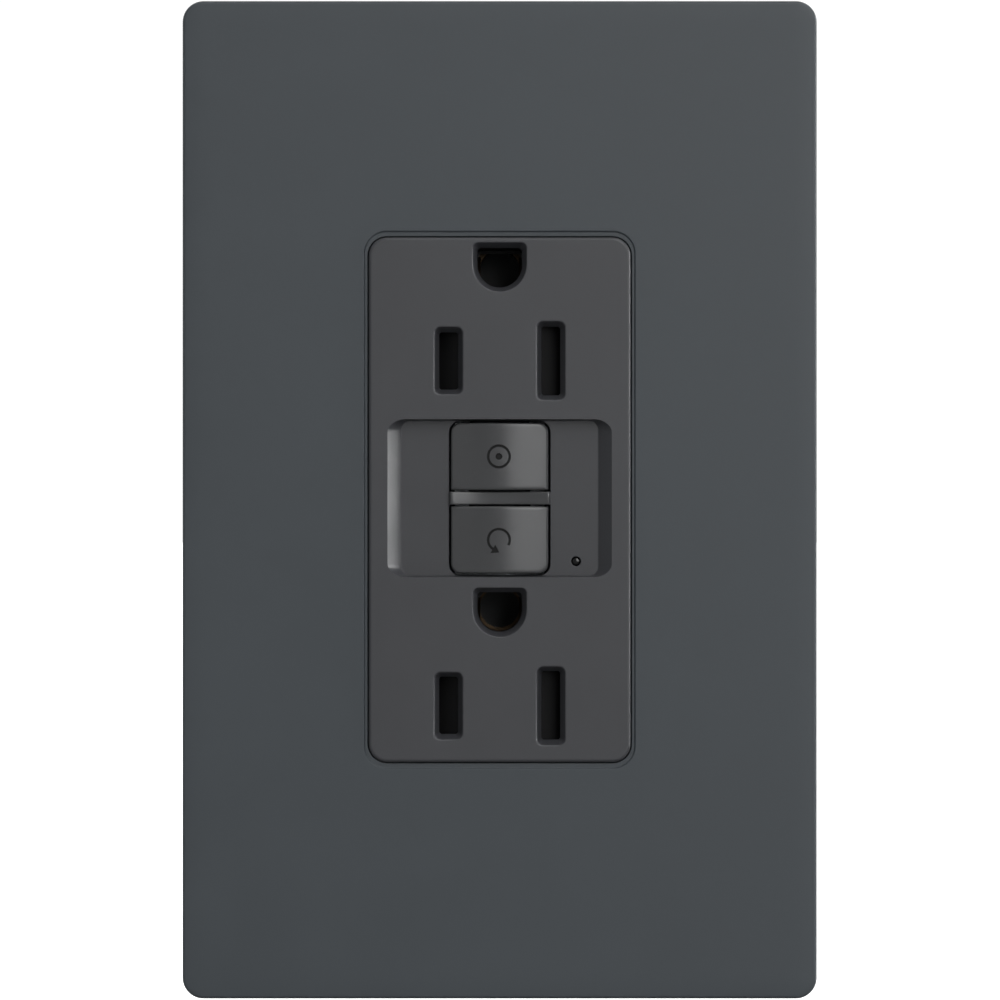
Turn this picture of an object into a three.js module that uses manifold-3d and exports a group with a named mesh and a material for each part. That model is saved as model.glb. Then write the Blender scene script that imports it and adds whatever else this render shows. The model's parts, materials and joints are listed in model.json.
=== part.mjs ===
// Residual-current (GFCI) duplex receptacle with a screwless wall plate.
//
// Millimetres. X is the width, +Z is up, and the front of the outlet faces -Y, so +X is
// to the right as seen from the front. The pieces are drawn from the plane of the
// finished wall: Y < 0 stands proud of the wall and Y > 0 is inside the electrical box.
// The assembly is then moved so that its origin is the centre of the housing, front to back.
import * as THREE from "three";
import { mergeVertices } from "three/addons/utils/BufferGeometryUtils.js";
import Module from "manifold-3d";

const wasm = await Module();
wasm.setup();

// ---------------------------------------------------------------- dimensions
// Wall plate: outline, then the opening and the ledge inside it
const PLATE_W = 78.7, PLATE_H = 123.8, PLATE_R = 2.6;
const PLATE_FRONT = -6.2, PLATE_SKIN = 1.7, PLATE_WALL = 1.7;
const OPEN_W = 33.5, OPEN_H = 66.5, OPEN_R = 2.7;
const LIP_W = 32.9, LIP_H = 65.5, LIP_R = 2.4, LIP_FRONT = -5.85, LIP_BACK = -4.9;
const TAB_Z = 34; // side latch tabs and the ribs they click behind

// Device face, and the housing behind the wall
const FACE_W = 32.5, FACE_H = 65.1, FACE_R = 2.3;
const FACE_FRONT = -6.5, FACE_SKIN = 1.9;
const BODY_W = 42, BODY_H = 68, BODY_R = 1.6, BODY_BACK = 29.0;
const BODY_WALL = 1.7;

const MOUNT_Z = 83.3 / 2; // device mounting holes
const PLATE_SCREW_Z = 96.8 / 2; // plate screw holes

// Blade slots and ground holes of the two outlets
const BLADE_X = 12.7 / 2;
const GROUND_RISE = 11.9; // ground hole above the blades
const HOT_L = 6.9, NEUTRAL_L = 8.3, BLADE_T = 2.1, LEAD_IN = 0.95;
const OUTLETS = [["upper", 17.25], ["lower", -25.55]].map(([level, bladeZ]) => (
  { level, bladeZ, groundZ: bladeZ + GROUND_RISE }));

// Sunk control panel, its buttons and lamp
const PANEL_Z = 0.2, PANEL_W = 27.8, PANEL_H = 19.6, PANEL_R = 2.5;
const PANEL_FLOOR = -4.9, PANEL_RAMP = 1.6;
const BUTTON_W = 12.1, BUTTON_R = 1.2;
const TEST_Z = [1.2, 9.55], RESET_Z = [-9.15, -0.8];
const BRIDGE_Z = [-0.6, 1.0]; // bar between the two buttons
const LED_X = 9.49, LED_Z = -7.65;

const PIN_Z = -4.9; // reset pin and latch
const TEST_STEM_Z = 4.9; // stem of the test button
const TERM_Z = 23.0, TERM_Y = 14.6; // side terminals
const TERM_PLATE_X = [16.8, 17.6];
const POCKET_X = 16.6, POCKET_HALF = 5.4; // inner wall and half height of a terminal pocket
const WIRE_DZ = 3.1; // wire holes above and below a terminal screw
const GROUND_SCREW_X = 12.4, GROUND_SCREW_Y = 12.6;
const CONTACT_Z = -4.2, CONTACT_R = 1.0; // switching contacts
const FACE_CONTACT_X = 10.7, LOAD_CONTACT_X = 6.95;
const SCREW_X = 17.4, SCREW_Z = 30.7; // housing screws
const POST_X = 17.5, POST_Z = 30.4; // posts round the housing screws
const SOLENOID_Y = 20.7;
const TRANSFORMER_Z = 16.0;

// ----------------------------------------------------------------- materials
const finish = (color, { roughness, metalness = 0 }) =>
  new THREE.MeshStandardMaterial({ color, roughness, metalness });
const FINISH = {
  plate: finish(0x464b4e, { roughness: 0.55 }),
  face: finish(0x48494b, { roughness: 0.5 }),
  button: finish(0x4c4d4f, { roughness: 0.42 }),
  shutter: finish(0x1c1c1e, { roughness: 0.5 }),
  housing: finish(0x1f2022, { roughness: 0.5 }),
  separator: finish(0x6d7074, { roughness: 0.5 }),
  subplate: finish(0x3c4043, { roughness: 0.55 }),
  zinc: finish(0xb9bdc2, { roughness: 0.34, metalness: 1 }),
  steel: finish(0xa7abb0, { roughness: 0.3, metalness: 1 }),
  brass: finish(0xc79a4b, { roughness: 0.32, metalness: 1 }),
  nickel: finish(0xc9cbcc, { roughness: 0.28, metalness: 1 }),
  green: finish(0x2f7d46, { roughness: 0.35, metalness: 0.6 }),
  fibre: finish(0xc9b48a, { roughness: 0.85 }),
  copper: finish(0xb5653a, { roughness: 0.35, metalness: 1 }),
  ferrite: finish(0x33353a, { roughness: 0.6 }),
  nylon: finish(0xdad6c8, { roughness: 0.5 }),
  board: finish(0x1f5a3a, { roughness: 0.5 }),
  lens: finish(0x1b2a1e, { roughness: 0.2 }),
  led: finish(0xa8c8a8, { roughness: 0.2 }),
};

// ----------------------------------------------------- sides, ends and ranges
const SIGNS = [-1, 1];
const CORNERS = SIGNS.flatMap((side) => SIGNS.map((end) => [side, end])); // signs of x and z
const ENDS = [["upper", 1], ["lower", -1]];
const POLES = [
  { pole: "hot", side: -1, metal: FINISH.brass },
  { pole: "neutral", side: 1, metal: FINISH.nickel },
];
const span = (sign, from, to) => [sign * from, sign * to];
const about = (centre, half) => [centre - half, centre + half];

// ------------------------------------------------------------ solid modelling
function toSolid(geometry) {
  for (const name of Object.keys(geometry.attributes))
    if (name !== "position") geometry.deleteAttribute(name);
  const merged = mergeVertices(geometry, 1e-4);
  const triVerts = new Uint32Array(merged.index.array);
  const vertProperties = new Float32Array(merged.attributes.position.array);
  const make = () => new wasm.Manifold(new wasm.Mesh({ numProp: 3, vertProperties, triVerts }));
  const solid = make();
  if (solid.volume() >= 0) return solid;
  // inside out: turn every triangle over
  for (let i = 0; i < triVerts.length; i += 3)
    [triVerts[i + 1], triVerts[i + 2]] = [triVerts[i + 2], triVerts[i + 1]];
  return make();
}

function toGeometry(solid) {
  const mesh = solid.getMesh();
  const positions = new Float32Array(mesh.vertProperties);
  const geometry = new THREE.BufferGeometry();
  geometry.setAttribute("position", new THREE.BufferAttribute(positions, 3));
  geometry.setIndex(new THREE.BufferAttribute(new Uint32Array(mesh.triVerts), 1));
  geometry.computeVertexNormals();
  return geometry;
}

const join = (...list) => list.flat().reduce((a, b) => a.add(b));
const cut = (base, ...list) => list.flat().reduce((a, b) => a.subtract(b), base);

// Outlines are lists of points in a plane. Angles are in degrees.
const arc = (cx, cy, radius, from, to, steps) =>
  Array.from({ length: steps + 1 }, (_, i) => {
    const angle = ((from + ((to - from) * i) / steps) * Math.PI) / 180;
    return [cx + radius * Math.cos(angle), cy + radius * Math.sin(angle)];
  });
const ring = (radius, sides, cx = 0, cy = 0) => arc(cx, cy, radius, 0, 360, sides).slice(0, sides);
// The radius is one number, or [bottom right, top right, top left, bottom left].
function rounded([x0, x1], [y0, y1], radius, steps) {
  const radii = Array.isArray(radius) ? radius : [radius, radius, radius, radius];
  const corners = [[x1, y0, 1, -1], [x1, y1, 1, 1], [x0, y1, -1, 1], [x0, y0, -1, -1]];
  return corners.flatMap(([x, y, sx, sy], i) => {
    const r = radii[i], start = 90 * (i - 1);
    return r > 0 ? arc(x - sx * r, y - sy * r, r, start, start + 90, steps) : [[x, y]];
  });
}
const centred = (width, height, radius, steps, cx = 0, cy = 0) =>
  rounded(about(cx, width / 2), about(cy, height / 2), radius, steps);
const flip = (sign, outline) => outline.map(([x, y]) => [sign * x, y]);
const mirrored = (half) => [...half, ...flip(-1, half).reverse()];

const shape = (outline) => new THREE.Shape(outline.map(([x, y]) => new THREE.Vector2(x, y)));
const extrude = (outline, depth, bevel = { bevelEnabled: false }) =>
  new THREE.ExtrudeGeometry(shape(outline), { depth, steps: 1, ...bevel });
const chamfer = (size, offset) => ({
  bevelEnabled: true, bevelThickness: size, bevelSize: size, bevelOffset: offset,
  bevelSegments: 1,
});
const YZ_BASIS = new THREE.Matrix4().makeBasis(
  new THREE.Vector3(0, 1, 0), new THREE.Vector3(0, 0, 1), new THREE.Vector3(1, 0, 0));

// Outline of (x, z) swept along Y
const sweptY = (outline, [y0, y1]) =>
  extrude(outline, y1 - y0).rotateX(Math.PI / 2).translate(0, y1, 0);
const alongY = (outline, ys) => toSolid(sweptY(outline, ys));
// Outline of (y, z) swept along X, in either direction
const alongX = (outline, [x0, x1]) => toSolid(
  extrude(outline, Math.abs(x1 - x0)).applyMatrix4(YZ_BASIS).translate(Math.min(x0, x1), 0, 0));
// Outline of (x, y) swept along Z
const alongZ = (outline, [z0, z1]) => toSolid(extrude(outline, z1 - z0).translate(0, 0, z0));
// The ends of each range may come in either order.
const box = (...ranges) => toSolid(
  new THREE.BoxGeometry(...ranges.map(([from, to]) => Math.abs(to - from)))
    .translate(...ranges.map(([from, to]) => (from + to) / 2)));

const rodY = (radius, ys, x = 0, z = 0, sides = 14) => alongY(ring(radius, sides, x, z), ys);
const rodX = (radius, xs, y, z, sides = 14) => alongX(ring(radius, sides, y, z), xs);
const rodZ = (radius, zs, x, y, sides = 14) => alongZ(ring(radius, sides, x, y), zs);

// A prism along Y whose front edge is chamfered.
function chamferFront(outline, [y0, y1], size) {
  const bevelled = extrude(outline, y1 - y0 - 2 * size, chamfer(size, -size))
    .rotateX(Math.PI / 2).translate(0, y1 - size, 0);
  return toSolid(bevelled).add(alongY(outline, [(y0 + y1) / 2, y1]));
}
// A cutter for an opening whose mouth, at y0, flares.
function flared(outline, [y0, y1], size) {
  const mouth = extrude(outline, 1, chamfer(size, 0)).rotateX(Math.PI / 2).translate(0, y0, 0);
  return toSolid(mouth).add(alongY(outline, [y0 + size - 0.05, y1]));
}
// A prism along Y whose outline changes towards the back: points at y1 are moved.
function tapered(outline, [y0, y1], move) {
  const geometry = sweptY(outline, [y0, y1]);
  const points = geometry.attributes.position;
  for (let i = 0; i < points.count; i++)
    if (Math.abs(points.getY(i) - y1) < 1e-6) {
      const [x, z] = move(points.getX(i), points.getZ(i));
      points.setXYZ(i, x, y1, z);
    }
  return toSolid(geometry);
}

// Turned pieces: profile points are (radius, height), with the axis along Y.
const turned = (profile, sides = 14) =>
  new THREE.LatheGeometry(profile.map(([r, h]) => new THREE.Vector2(r, h)), sides);
const turnedY = (profile, x, z, sides) => toSolid(turned(profile, sides).translate(x, 0, z));

// Two crossed slots; place(a, b) makes one from its half sizes across the screw axis.
const cross = ({ reach, half }, place) => [place(half, reach), place(reach, half)];
const screwY = (profile, x, z, slot, sides) => cut(
  turnedY(profile, x, z, sides),
  cross(slot, (dx, dz) => box(about(x, dx), slot.depth, about(z, dz))));

class Helix extends THREE.Curve {
  constructor(radius, pitch, turns, place) {
    super();
    Object.assign(this, { radius, pitch, turns, place });
  }
  getPoint(t, target = new THREE.Vector3()) {
    const angle = t * this.turns * 2 * Math.PI;
    const across = [this.radius * Math.cos(angle), this.radius * Math.sin(angle)];
    return target.set(...this.place(...across, t * this.turns * this.pitch));
  }
}
// place(u, v, along) turns the spring's own coordinates into x, y, z.
const coilSpring = ({ radius, wire, length, turns, perTurn, sides, place }) => toSolid(
  new THREE.ExtrudeGeometry(shape(ring(wire / 2, sides)), {
    steps: Math.round(turns * perTurn), bevelEnabled: false,
    extrudePath: new Helix(radius, length / turns, turns, place),
  }));

const group = new THREE.Group();
const fromWall = new THREE.Group(); // drawn from the wall plane
fromWall.position.y = -(FACE_FRONT + BODY_BACK) / 2;
group.add(fromWall);
function part(name, solid, material) {
  const mesh = new THREE.Mesh(toGeometry(solid), material);
  mesh.name = name;
  fromWall.add(mesh);
}

// =============================================================== wall plate
function wallPlate() {
  const skinBack = PLATE_FRONT + PLATE_SKIN;
  const opening = centred(OPEN_W, OPEN_H, OPEN_R, 3);
  const hollow = centred(PLATE_W - 2 * PLATE_WALL, PLATE_H - 2 * PLATE_WALL, 1.2, 2);
  let plate = chamferFront(centred(PLATE_W, PLATE_H, PLATE_R, 4), [PLATE_FRONT, 0], 0.6);
  plate = cut(plate, alongY(hollow, [skinBack, 1]));
  // collar round the opening, on the inside
  const collar = centred(OPEN_W + 2.8, OPEN_H + 2.8, OPEN_R + 1.2, 3);
  plate = join(plate, alongY(collar, [skinBack - 0.2, -3.4]));
  plate = cut(plate,
    flared(opening, [PLATE_FRONT, LIP_FRONT], 0.3),
    alongY(centred(LIP_W, LIP_H, LIP_R, 3), [LIP_FRONT - 0.2, 1]),
    alongY(opening, [LIP_BACK, 1]));
  // snap ribs on the walls, which the sub-plate's latch tabs click behind
  const ribY = [-1.7, -0.9], ribRoot = 1.2;
  const sideRibs = CORNERS.map(([side, end]) =>
    box(span(side, 36.9, PLATE_W / 2 - ribRoot), ribY, about(end * TAB_Z, 5)));
  const endRibs = SIGNS.map((end) =>
    box([-6, 6], ribY, span(end, 59.45, PLATE_H / 2 - ribRoot)));
  return join(plate, sideRibs, endRibs);
}
part("wall_plate", wallPlate(), FINISH.plate);

// ================================================================ sub-plate
function subPlate() {
  const width = 72.4, height = 117.5, rim = 1.4, through = [-4, 0];
  let plate = alongY(centred(width, height, 2, 3), [-3.1, -0.1]);
  plate = cut(plate,
    alongY(centred(width - 2 * rim, height - 2 * rim, 0.8, 1), [-1.5, 0.1]),
    alongY(centred(34.3, 67.2, 2.2, 2), [-4, 1]));
  const countersink = [[0, -3.2], [3.05, -3.2], [1.85, -2.0], [0, -2.0]]; // (radius, y)
  for (const end of SIGNS)
    plate = cut(plate,
      rodY(3.6, through, 0, end * MOUNT_Z, 16), // room for the head of a mounting screw
      rodY(1.85, through, 0, end * PLATE_SCREW_Z),
      turnedY(countersink, 0, end * PLATE_SCREW_Z));
  // latch tabs, freed from the middle of the plate by a slot behind each
  const sideTab = [[35.6, -3.0], [36.75, -2.4], [36.75, -2.1], [35.6, -2.1]]; // (x, y)
  const endTab = [[58.2, -3.0], [59.3, -2.4], [59.3, -2.1], [58.2, -2.1]]; // (z, y)
  for (const [side, end] of CORNERS) {
    plate = cut(plate, box(span(side, 32.6, 34.4), through, about(end * TAB_Z, 7)));
    plate = join(plate, alongZ(flip(side, sideTab), about(end * TAB_Z, 4)));
  }
  for (const end of SIGNS) {
    plate = cut(plate, box([-8, 8], through, span(end, 55.4, 57.0)));
    plate = join(plate, alongX(endTab.map(([z, y]) => [y, end * z]), [-4, 4]));
  }
  // lightening windows
  return cut(plate, SIGNS.map((side) => box(span(side, 22, 30), through, [-16, 16])));
}
part("sub_plate", subPlate(), FINISH.subplate);

// (radius, y)
const SUB_PLATE_SCREW = [
  [0, -3.35], [1.6, -3.3], [2.75, -3.05], [2.75, -2.95], [1.5, -1.75], [1.5, 5.4],
  [1.0, 6.0], [0, 6.0],
];
const SUB_PLATE_SLOT = { reach: 2.0, half: 0.42, depth: [-4, -2.2] };
for (const [level, end] of ENDS)
  part(`sub_plate_screw_${level}`,
    screwY(SUB_PLATE_SCREW, 0, end * PLATE_SCREW_Z, SUB_PLATE_SLOT), FINISH.plate);

// ============================================================== front cover
// Round below, with a flat top whose corners are chamfered
function groundHole(z) {
  const radius = 2.75, top = z + 2.15, corner = 0.4;
  return [
    ...arc(0, z, radius, 180, 360, 10), [radius, top - corner], [radius - corner, top],
    [corner - radius, top], [-radius, top - corner],
  ];
}
const bladeSlot = (x, z, length) => centred(BLADE_T, length, 0.35, 1, x, z);
const housingPost = ([side, end], ys) =>
  alongY(centred(6.2, 6.0, 0.8, 1, side * POST_X, end * POST_Z), ys);

function coverShell() {
  const skinBack = FACE_FRONT + FACE_SKIN;
  let shell = chamferFront(centred(FACE_W, FACE_H, FACE_R, 4), [FACE_FRONT, 2.2], 0.45);
  shell = join(shell, alongY(centred(BODY_W, BODY_H, BODY_R, 2), [0.5, 6.0]));
  shell = cut(shell,
    alongY(centred(FACE_W - 3.2, FACE_H - 3.2, 1.2, 1), [skinBack, 7]),
    alongY(centred(BODY_W - 2 * BODY_WALL, BODY_H - 2 * BODY_WALL, 1.0, 1), [2.3, 7]));
  // block that carries the control panel, and posts that the housing screws bite into
  return join(shell,
    box(about(0, FACE_W / 2 - 1.2), [skinBack - 0.2, -3.1], about(PANEL_Z, 11.0)),
    CORNERS.map((corner) => housingPost(corner, [2.0, 6.0])));
}

// Sunk panel: steep ramps at its two sides, and openings for the buttons
function panelCutters() {
  const outline = centred(PANEL_W, PANEL_H, PANEL_R, 3, 0, PANEL_Z);
  const halfW = PANEL_W / 2, halfH = PANEL_H / 2, draft = 0.25;
  const xScale = (halfW - PANEL_RAMP) / halfW, zScale = (halfH - draft) / halfH;
  const openingX = [-6.25, 6.25], cornerR = 1.4;
  return [
    tapered(outline, [FACE_FRONT - 0.0001, PANEL_FLOOR],
      (x, z) => [x * xScale, PANEL_Z + (z - PANEL_Z) * zScale]),
    alongY(outline, [FACE_FRONT - 1, FACE_FRONT + 0.001]), // leaves no skin over the panel
    alongY(rounded(openingX, [1.0, 9.77], [0, cornerR, cornerR, 0], 3), [-8, 0]),
    alongY(rounded(openingX, [-9.37, -0.6], [cornerR, 0, 0, cornerR], 3), [-8, 0]),
  ];
}

// Bridge between the two buttons: slightly dished along its length, with rounded ends.
// (x, y) of the right half, from beside the middle outwards
const BRIDGE_HALF = [
  [2.6, -5.62], [5.5, -5.88], [6.0, -5.7], [6.25, -5.2], [6.4, -4.85], [6.4, -3.4],
];

function frontCover() {
  let cover = cut(coverShell(), panelCutters());
  cover = join(cover, alongZ([[0, -5.55], ...mirrored(BRIDGE_HALF)], BRIDGE_Z));
  for (const { bladeZ, groundZ } of OUTLETS)
    cover = cut(cover,
      flared(bladeSlot(-BLADE_X, bladeZ, HOT_L), [FACE_FRONT, 0], LEAD_IN),
      flared(bladeSlot(BLADE_X, bladeZ, NEUTRAL_L), [FACE_FRONT, 0], LEAD_IN),
      flared(groundHole(groundZ), [FACE_FRONT, 1.2], LEAD_IN));
  return cut(cover,
    rodY(0.55, [-6, 0], LED_X, LED_Z, 12),
    rodY(1.5, [-4.15, 0], LED_X, LED_Z, 12),
    CORNERS.map(([side, end]) => rodY(1.4, [2.6, 7], side * SCREW_X, end * SCREW_Z, 10)));
}
part("front_cover", frontCover(), FINISH.face);

// ================================================================== buttons
// Hollow cap with a crowned front
function buttonCap([z0, z1], radii) {
  const half = BUTTON_W / 2, edgeY = -5.45, middleY = -6.25, backY = -2.6, steps = 8;
  const crown = Array.from({ length: steps + 1 }, (_, i) => {
    const x = -half + (BUTTON_W * i) / steps;
    return [x, middleY + (edgeY - middleY) * (x / half) ** 2];
  });
  const body = alongZ([...crown, [half, backY], [-half, backY]], [z0 - 1, z1 + 1])
    .intersect(alongY(rounded([-half, half], [z0, z1], radii, 3), [-8, 0]));
  return cut(body, box(about(0, half - 1.2), [-4.4, -2], [z0 + 1.0, z1 - 1.0]));
}

function testButton() {
  const [bottom, top] = TEST_Z;
  const footX = about(0, BUTTON_W / 2 - 1.0), footY = [-3.0, -2.2];
  return join(buttonCap(TEST_Z, [0, BUTTON_R, BUTTON_R, 0]),
    box(footX, footY, [bottom + 0.2, bottom + 1.1]),
    box(footX, footY, [top - 1.1, top - 0.2]),
    alongY(centred(3.4, 2.4, 0.4, 2, 0, TEST_STEM_Z), [-4.8, 4.6]));
}
part("test_button", testButton(), FINISH.button);

function resetButton() {
  const cap = buttonCap(RESET_Z, [BUTTON_R, 0, 0, BUTTON_R]);
  return cut(join(cap, rodY(2.9, [-4.8, -0.6], 0, PIN_Z)), rodY(1.15, [-3.9, 0], 0, PIN_Z, 12));
}
part("reset_button", resetButton(), FINISH.button);

// (radius, y)
const RESET_PIN = [
  [0, -3.6], [1.0, -3.6], [1.0, 15.3], [0.75, 15.6], [0.75, 19.9], [1.15, 20.1],
  [1.15, 21.2], [0.5, 22.0], [0, 22.0],
];
part("reset_pin", turnedY(RESET_PIN, 0, PIN_Z, 12), FINISH.steel);
part("reset_spring", coilSpring({
  radius: 2.2, wire: 0.5, length: 8.1, turns: 5, perTurn: 8, sides: 4,
  place: (u, v, along) => [u, -0.3 + along, PIN_Z + v],
}), FINISH.steel);

// ============================================================ indicator lamp
const LIGHT_PIPE = [ // (radius, y)
  [0, -4.75], [0.45, -4.75], [0.45, -4.0], [1.25, -4.0], [1.25, 13.2], [0, 13.2],
];
part("light_pipe", turnedY(LIGHT_PIPE, LED_X, LED_Z, 12), FINISH.lens);

function indicatorLed() {
  const bulb = [ // (radius, y)
    [0, 14.0], [0.6, 14.1], [1.1, 14.6], [1.2, 15.2], [1.2, 17.6], [0, 17.6],
  ];
  const legs = SIGNS.map((side) =>
    box(about(LED_X + side * 0.65, 0.2), [17.4, 25.4], about(LED_Z, 0.2)));
  return join(turnedY(bulb, LED_X, LED_Z, 10), legs);
}
part("indicator_led", indicatorLed(), FINISH.led);

// ============================================================ mounting strap
// Right half of the band between the front cover and the middle housing: (x, z)
const STRAP_HALF = [
  [8.5, -34.9], [8.5, -32.6], [5.7, -31.6], [3.3, -30.6], [3.3, -20.6], [5.7, -19.6],
  [5.7, 11.9], [3.3, 12.7], [3.3, 22.4], [5.7, 23.4], [5.7, 32.6], [8.5, 32.8], [8.5, 34.9],
];
// Right half of an ear, a tongue with break-off wings: (x, z) of the upper one
const EAR_HALF = [
  [8.5, 34.3], [8.5, 45.4], [9.3, 45.4], [9.3, 43.4],
  ...arc(13.8, 45.0, 3.0, -60, 0, 3), ...arc(13.8, 50.4, 3.0, 0, 90, 4),
  [9.3, 53.4], [9.3, 49.8], [8.5, 49.8], ...arc(7.0, 51.9, 1.5, 0, 90, 3),
];
// Tab for the ground terminal, bent back along the lower end: (x, y)
const GROUND_TAB = [[4.5, 6.4], [8.5, 6.4], [17.2, 8.0], [17.2, 17.2], [7.6, 17.2], [7.6, 9.4]];

function strapEar(end) {
  const ear = alongY(mirrored(EAR_HALF).map(([x, z]) => [x, end * z]), [-1.2, 0]);
  return cut(ear,
    alongY(centred(6.2, 4.1, 2.0, 4, 0, end * MOUNT_Z), [-2, 1]),
    rodY(1.75, [-2, 1], 0, end * PLATE_SCREW_Z));
}

function mountingStrap() {
  let strap = cut(alongY(mirrored(STRAP_HALF), [6.2, 7.4]),
    alongY(rounded([-3.9, 3.9], [-9.2, 10.4], 1.0, 1), [6, 8]),
    OUTLETS.map(({ groundZ }) => rodY(2.9, [6, 8], 0, groundZ)));
  // a riser along each end of the housing, then its ear
  for (const end of SIGNS)
    strap = join(strap, box([-8.5, 8.5], [-1.2, 7.4], span(end, 34.3, 35.5)), strapEar(end));
  strap = join(strap, alongZ(GROUND_TAB, [-35.5, -34.3]));
  return cut(strap, rodZ(2.1, [-36, -34], GROUND_SCREW_X, GROUND_SCREW_Y));
}
part("mounting_strap", mountingStrap(), FINISH.zinc);

// (radius, y)
const MOUNTING_SCREW = [
  [0, -2.95], [1.8, -2.85], [3.0, -2.3], [3.3, -1.6], [3.3, -1.3], [1.6, -1.3],
  [1.6, 16.6], [1.0, 17.6], [0, 17.6],
];
const MOUNTING_SLOT = { reach: 2.1, half: 0.45, depth: [-4, -2.0] };
const screwRetainer = (z) =>
  cut(alongY(centred(9.5, 7.6, 0.8, 2, 0, z), [0.2, 1.4]), rodY(1.85, [0, 2], 0, z));
for (const [level, end] of ENDS) {
  const z = end * MOUNT_Z;
  part(`mounting_screw_${level}`, screwY(MOUNTING_SCREW, 0, z, MOUNTING_SLOT), FINISH.zinc);
  part(`screw_retainer_${level}`, screwRetainer(z), FINISH.fibre);
}

// ========================================================== ground contacts
const GROUND_LEAF = [ // right leaf: (x, y)
  [3.4, 5.6], [4.1, 5.6], [4.1, 3.6], [3.05, 1.4], [3.9, -0.4], [3.3, -0.6], [2.4, 1.4],
  [3.4, 3.8],
];
function groundContact(z) {
  const base = alongY(rounded([-4.4, 4.4], [z - 4.2, z + 2.9], 0.6, 1), [5.2, 5.9]);
  return join(cut(base, rodY(2.55, [5, 6.1], 0, z)),
    SIGNS.map((side) => alongZ(flip(side, GROUND_LEAF), [z - 2.0, z + 1.4])));
}
for (const { level, groundZ } of OUTLETS)
  part(`ground_contact_${level}`, groundContact(groundZ), FINISH.brass);

// ============================================================ face contacts
const BLADE_LEAF = [ // (distance from the middle of the blade, y)
  [1.65, 5.5], [1.05, 5.5], [1.05, 3.6], [0.4, 1.6], [1.15, -0.5], [1.75, -0.5],
  [1.05, 1.6], [1.65, 3.5],
];
function faceContacts(side) {
  const railX = span(side, 11.9, 12.6);
  let contacts = box(railX, [1.4, 5.6], [-30.3, 22.0]);
  for (const { bladeZ } of OUTLETS) {
    contacts = join(contacts, box(span(side, 4.7, 12.2), [4.9, 5.6], about(bladeZ, 5.4)));
    contacts = cut(contacts, box(span(side, 5.5, 7.2), [4, 6], about(bladeZ, 4.4)));
    for (const lean of SIGNS) {
      const leaf = BLADE_LEAF.map(([offset, y]) => [side * (BLADE_X + lean * offset), y]);
      contacts = join(contacts, alongZ(leaf, about(bladeZ, 3.6)));
    }
  }
  // tail that carries the fixed contact, through the middle housing
  const tailZ = [-6.2, -2.2];
  return join(contacts,
    box(railX, [5.0, 14.5], tailZ),
    box(span(side, 9.4, 12.6), [13.85, 14.5], tailZ),
    rodY(CONTACT_R, [14.3, 14.9], side * FACE_CONTACT_X, CONTACT_Z, 12));
}
for (const { pole, side, metal } of POLES)
  part(`face_${pole}_contacts`, faceContacts(side), metal);

// ================================================================= shutters
// One sliding block behind each blade slot; the two of an outlet move
// towards each other when both ramps are pushed at once.
const SHUTTER_SPRING_Y = -2.95;
const SHUTTER_BLOCK = [[7.9, -2.7], [7.9, -1.7], [2.9, -1.7], [2.9, -4.3], [4.9, -4.3]]; // (x, y)
const shutter = (side, z) => cut(
  alongZ(flip(side, SHUTTER_BLOCK), about(z, 5.2)),
  rodX(0.8, span(side, 2.5, 5.0), SHUTTER_SPRING_Y, z, 10));
for (const { level, bladeZ } of OUTLETS) {
  for (const { pole, side } of POLES)
    part(`${pole}_shutter_${level}`, shutter(side, bladeZ), FINISH.shutter);
  part(`shutter_spring_${level}`, coilSpring({
    radius: 0.5, wire: 0.22, length: 8.9, turns: 6, perTurn: 6, sides: 3,
    place: (u, v, along) => [-4.45 + along, SHUTTER_SPRING_Y + u, bladeZ + v],
  }), FINISH.steel);
}

function shutterRetainer() {
  const plateY = [-1.5, -0.75], through = [-2, 0], lowestRail = -31;
  let plate = alongY(centred(29.0, 61.6, 1.0, 1), plateY);
  plate = cut(plate, box([-14.6, 14.6], through, [-10.9, 11.3]));
  plate = join(plate, SIGNS.map((side) => box(span(side, 13.2, 14.5), plateY, [-12, 12])));
  for (const { bladeZ } of OUTLETS) {
    plate = cut(plate, SIGNS.map((side) =>
      box(about(side * BLADE_X, 1.3), through, about(bladeZ, 4.6))));
    // rails above and below the sliding blocks; the lower outlet has none below
    for (const z of [bladeZ - 5.9, bladeZ + 5.4])
      if (z > lowestRail) plate = join(plate, box([-12.5, 12.5], [-3.9, -1.4], [z, z + 0.5]));
  }
  return cut(plate, OUTLETS.map(({ groundZ }) => rodY(2.95, [-5, 0], 0, groundZ)));
}
part("shutter_retainer", shutterRetainer(), FINISH.nylon);

// ========================================================== middle housing
// Cutters shared by the middle and rear housings
const terminalScrewHole = (side, end) => rodX(2.25, span(side, 9, 22), TERM_Y, end * TERM_Z);
const terminalPocket = (side, end, ys) =>
  box(span(side, POCKET_X, 22), ys, about(end * TERM_Z, POCKET_HALF));
const housingScrewHole = (side, end, ys) => rodY(1.6, ys, side * SCREW_X, end * SCREW_Z, 10);
const groundScrewHole = () => rodZ(2.4, [-35, -30.4], GROUND_SCREW_X, GROUND_SCREW_Y, 12);

// Wells for the tips of the blades and of the ground pin
function addWells(housing) {
  const wellFront = 7.9;
  for (const { bladeZ, groundZ } of OUTLETS) {
    for (const side of SIGNS) {
      const wellX = side * BLADE_X;
      housing = join(housing, box(about(wellX, 2.5), [wellFront, 13.6], about(bladeZ, 5.7)));
      housing = cut(housing, box(about(wellX, 1.4), [7, 12.6], about(bladeZ, 4.6)));
    }
    housing = join(housing, rodY(3.7, [wellFront, 16.0], 0, groundZ, 16));
    housing = cut(housing, rodY(2.8, [7, 15.1], 0, groundZ, 16));
  }
  return housing;
}

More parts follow.
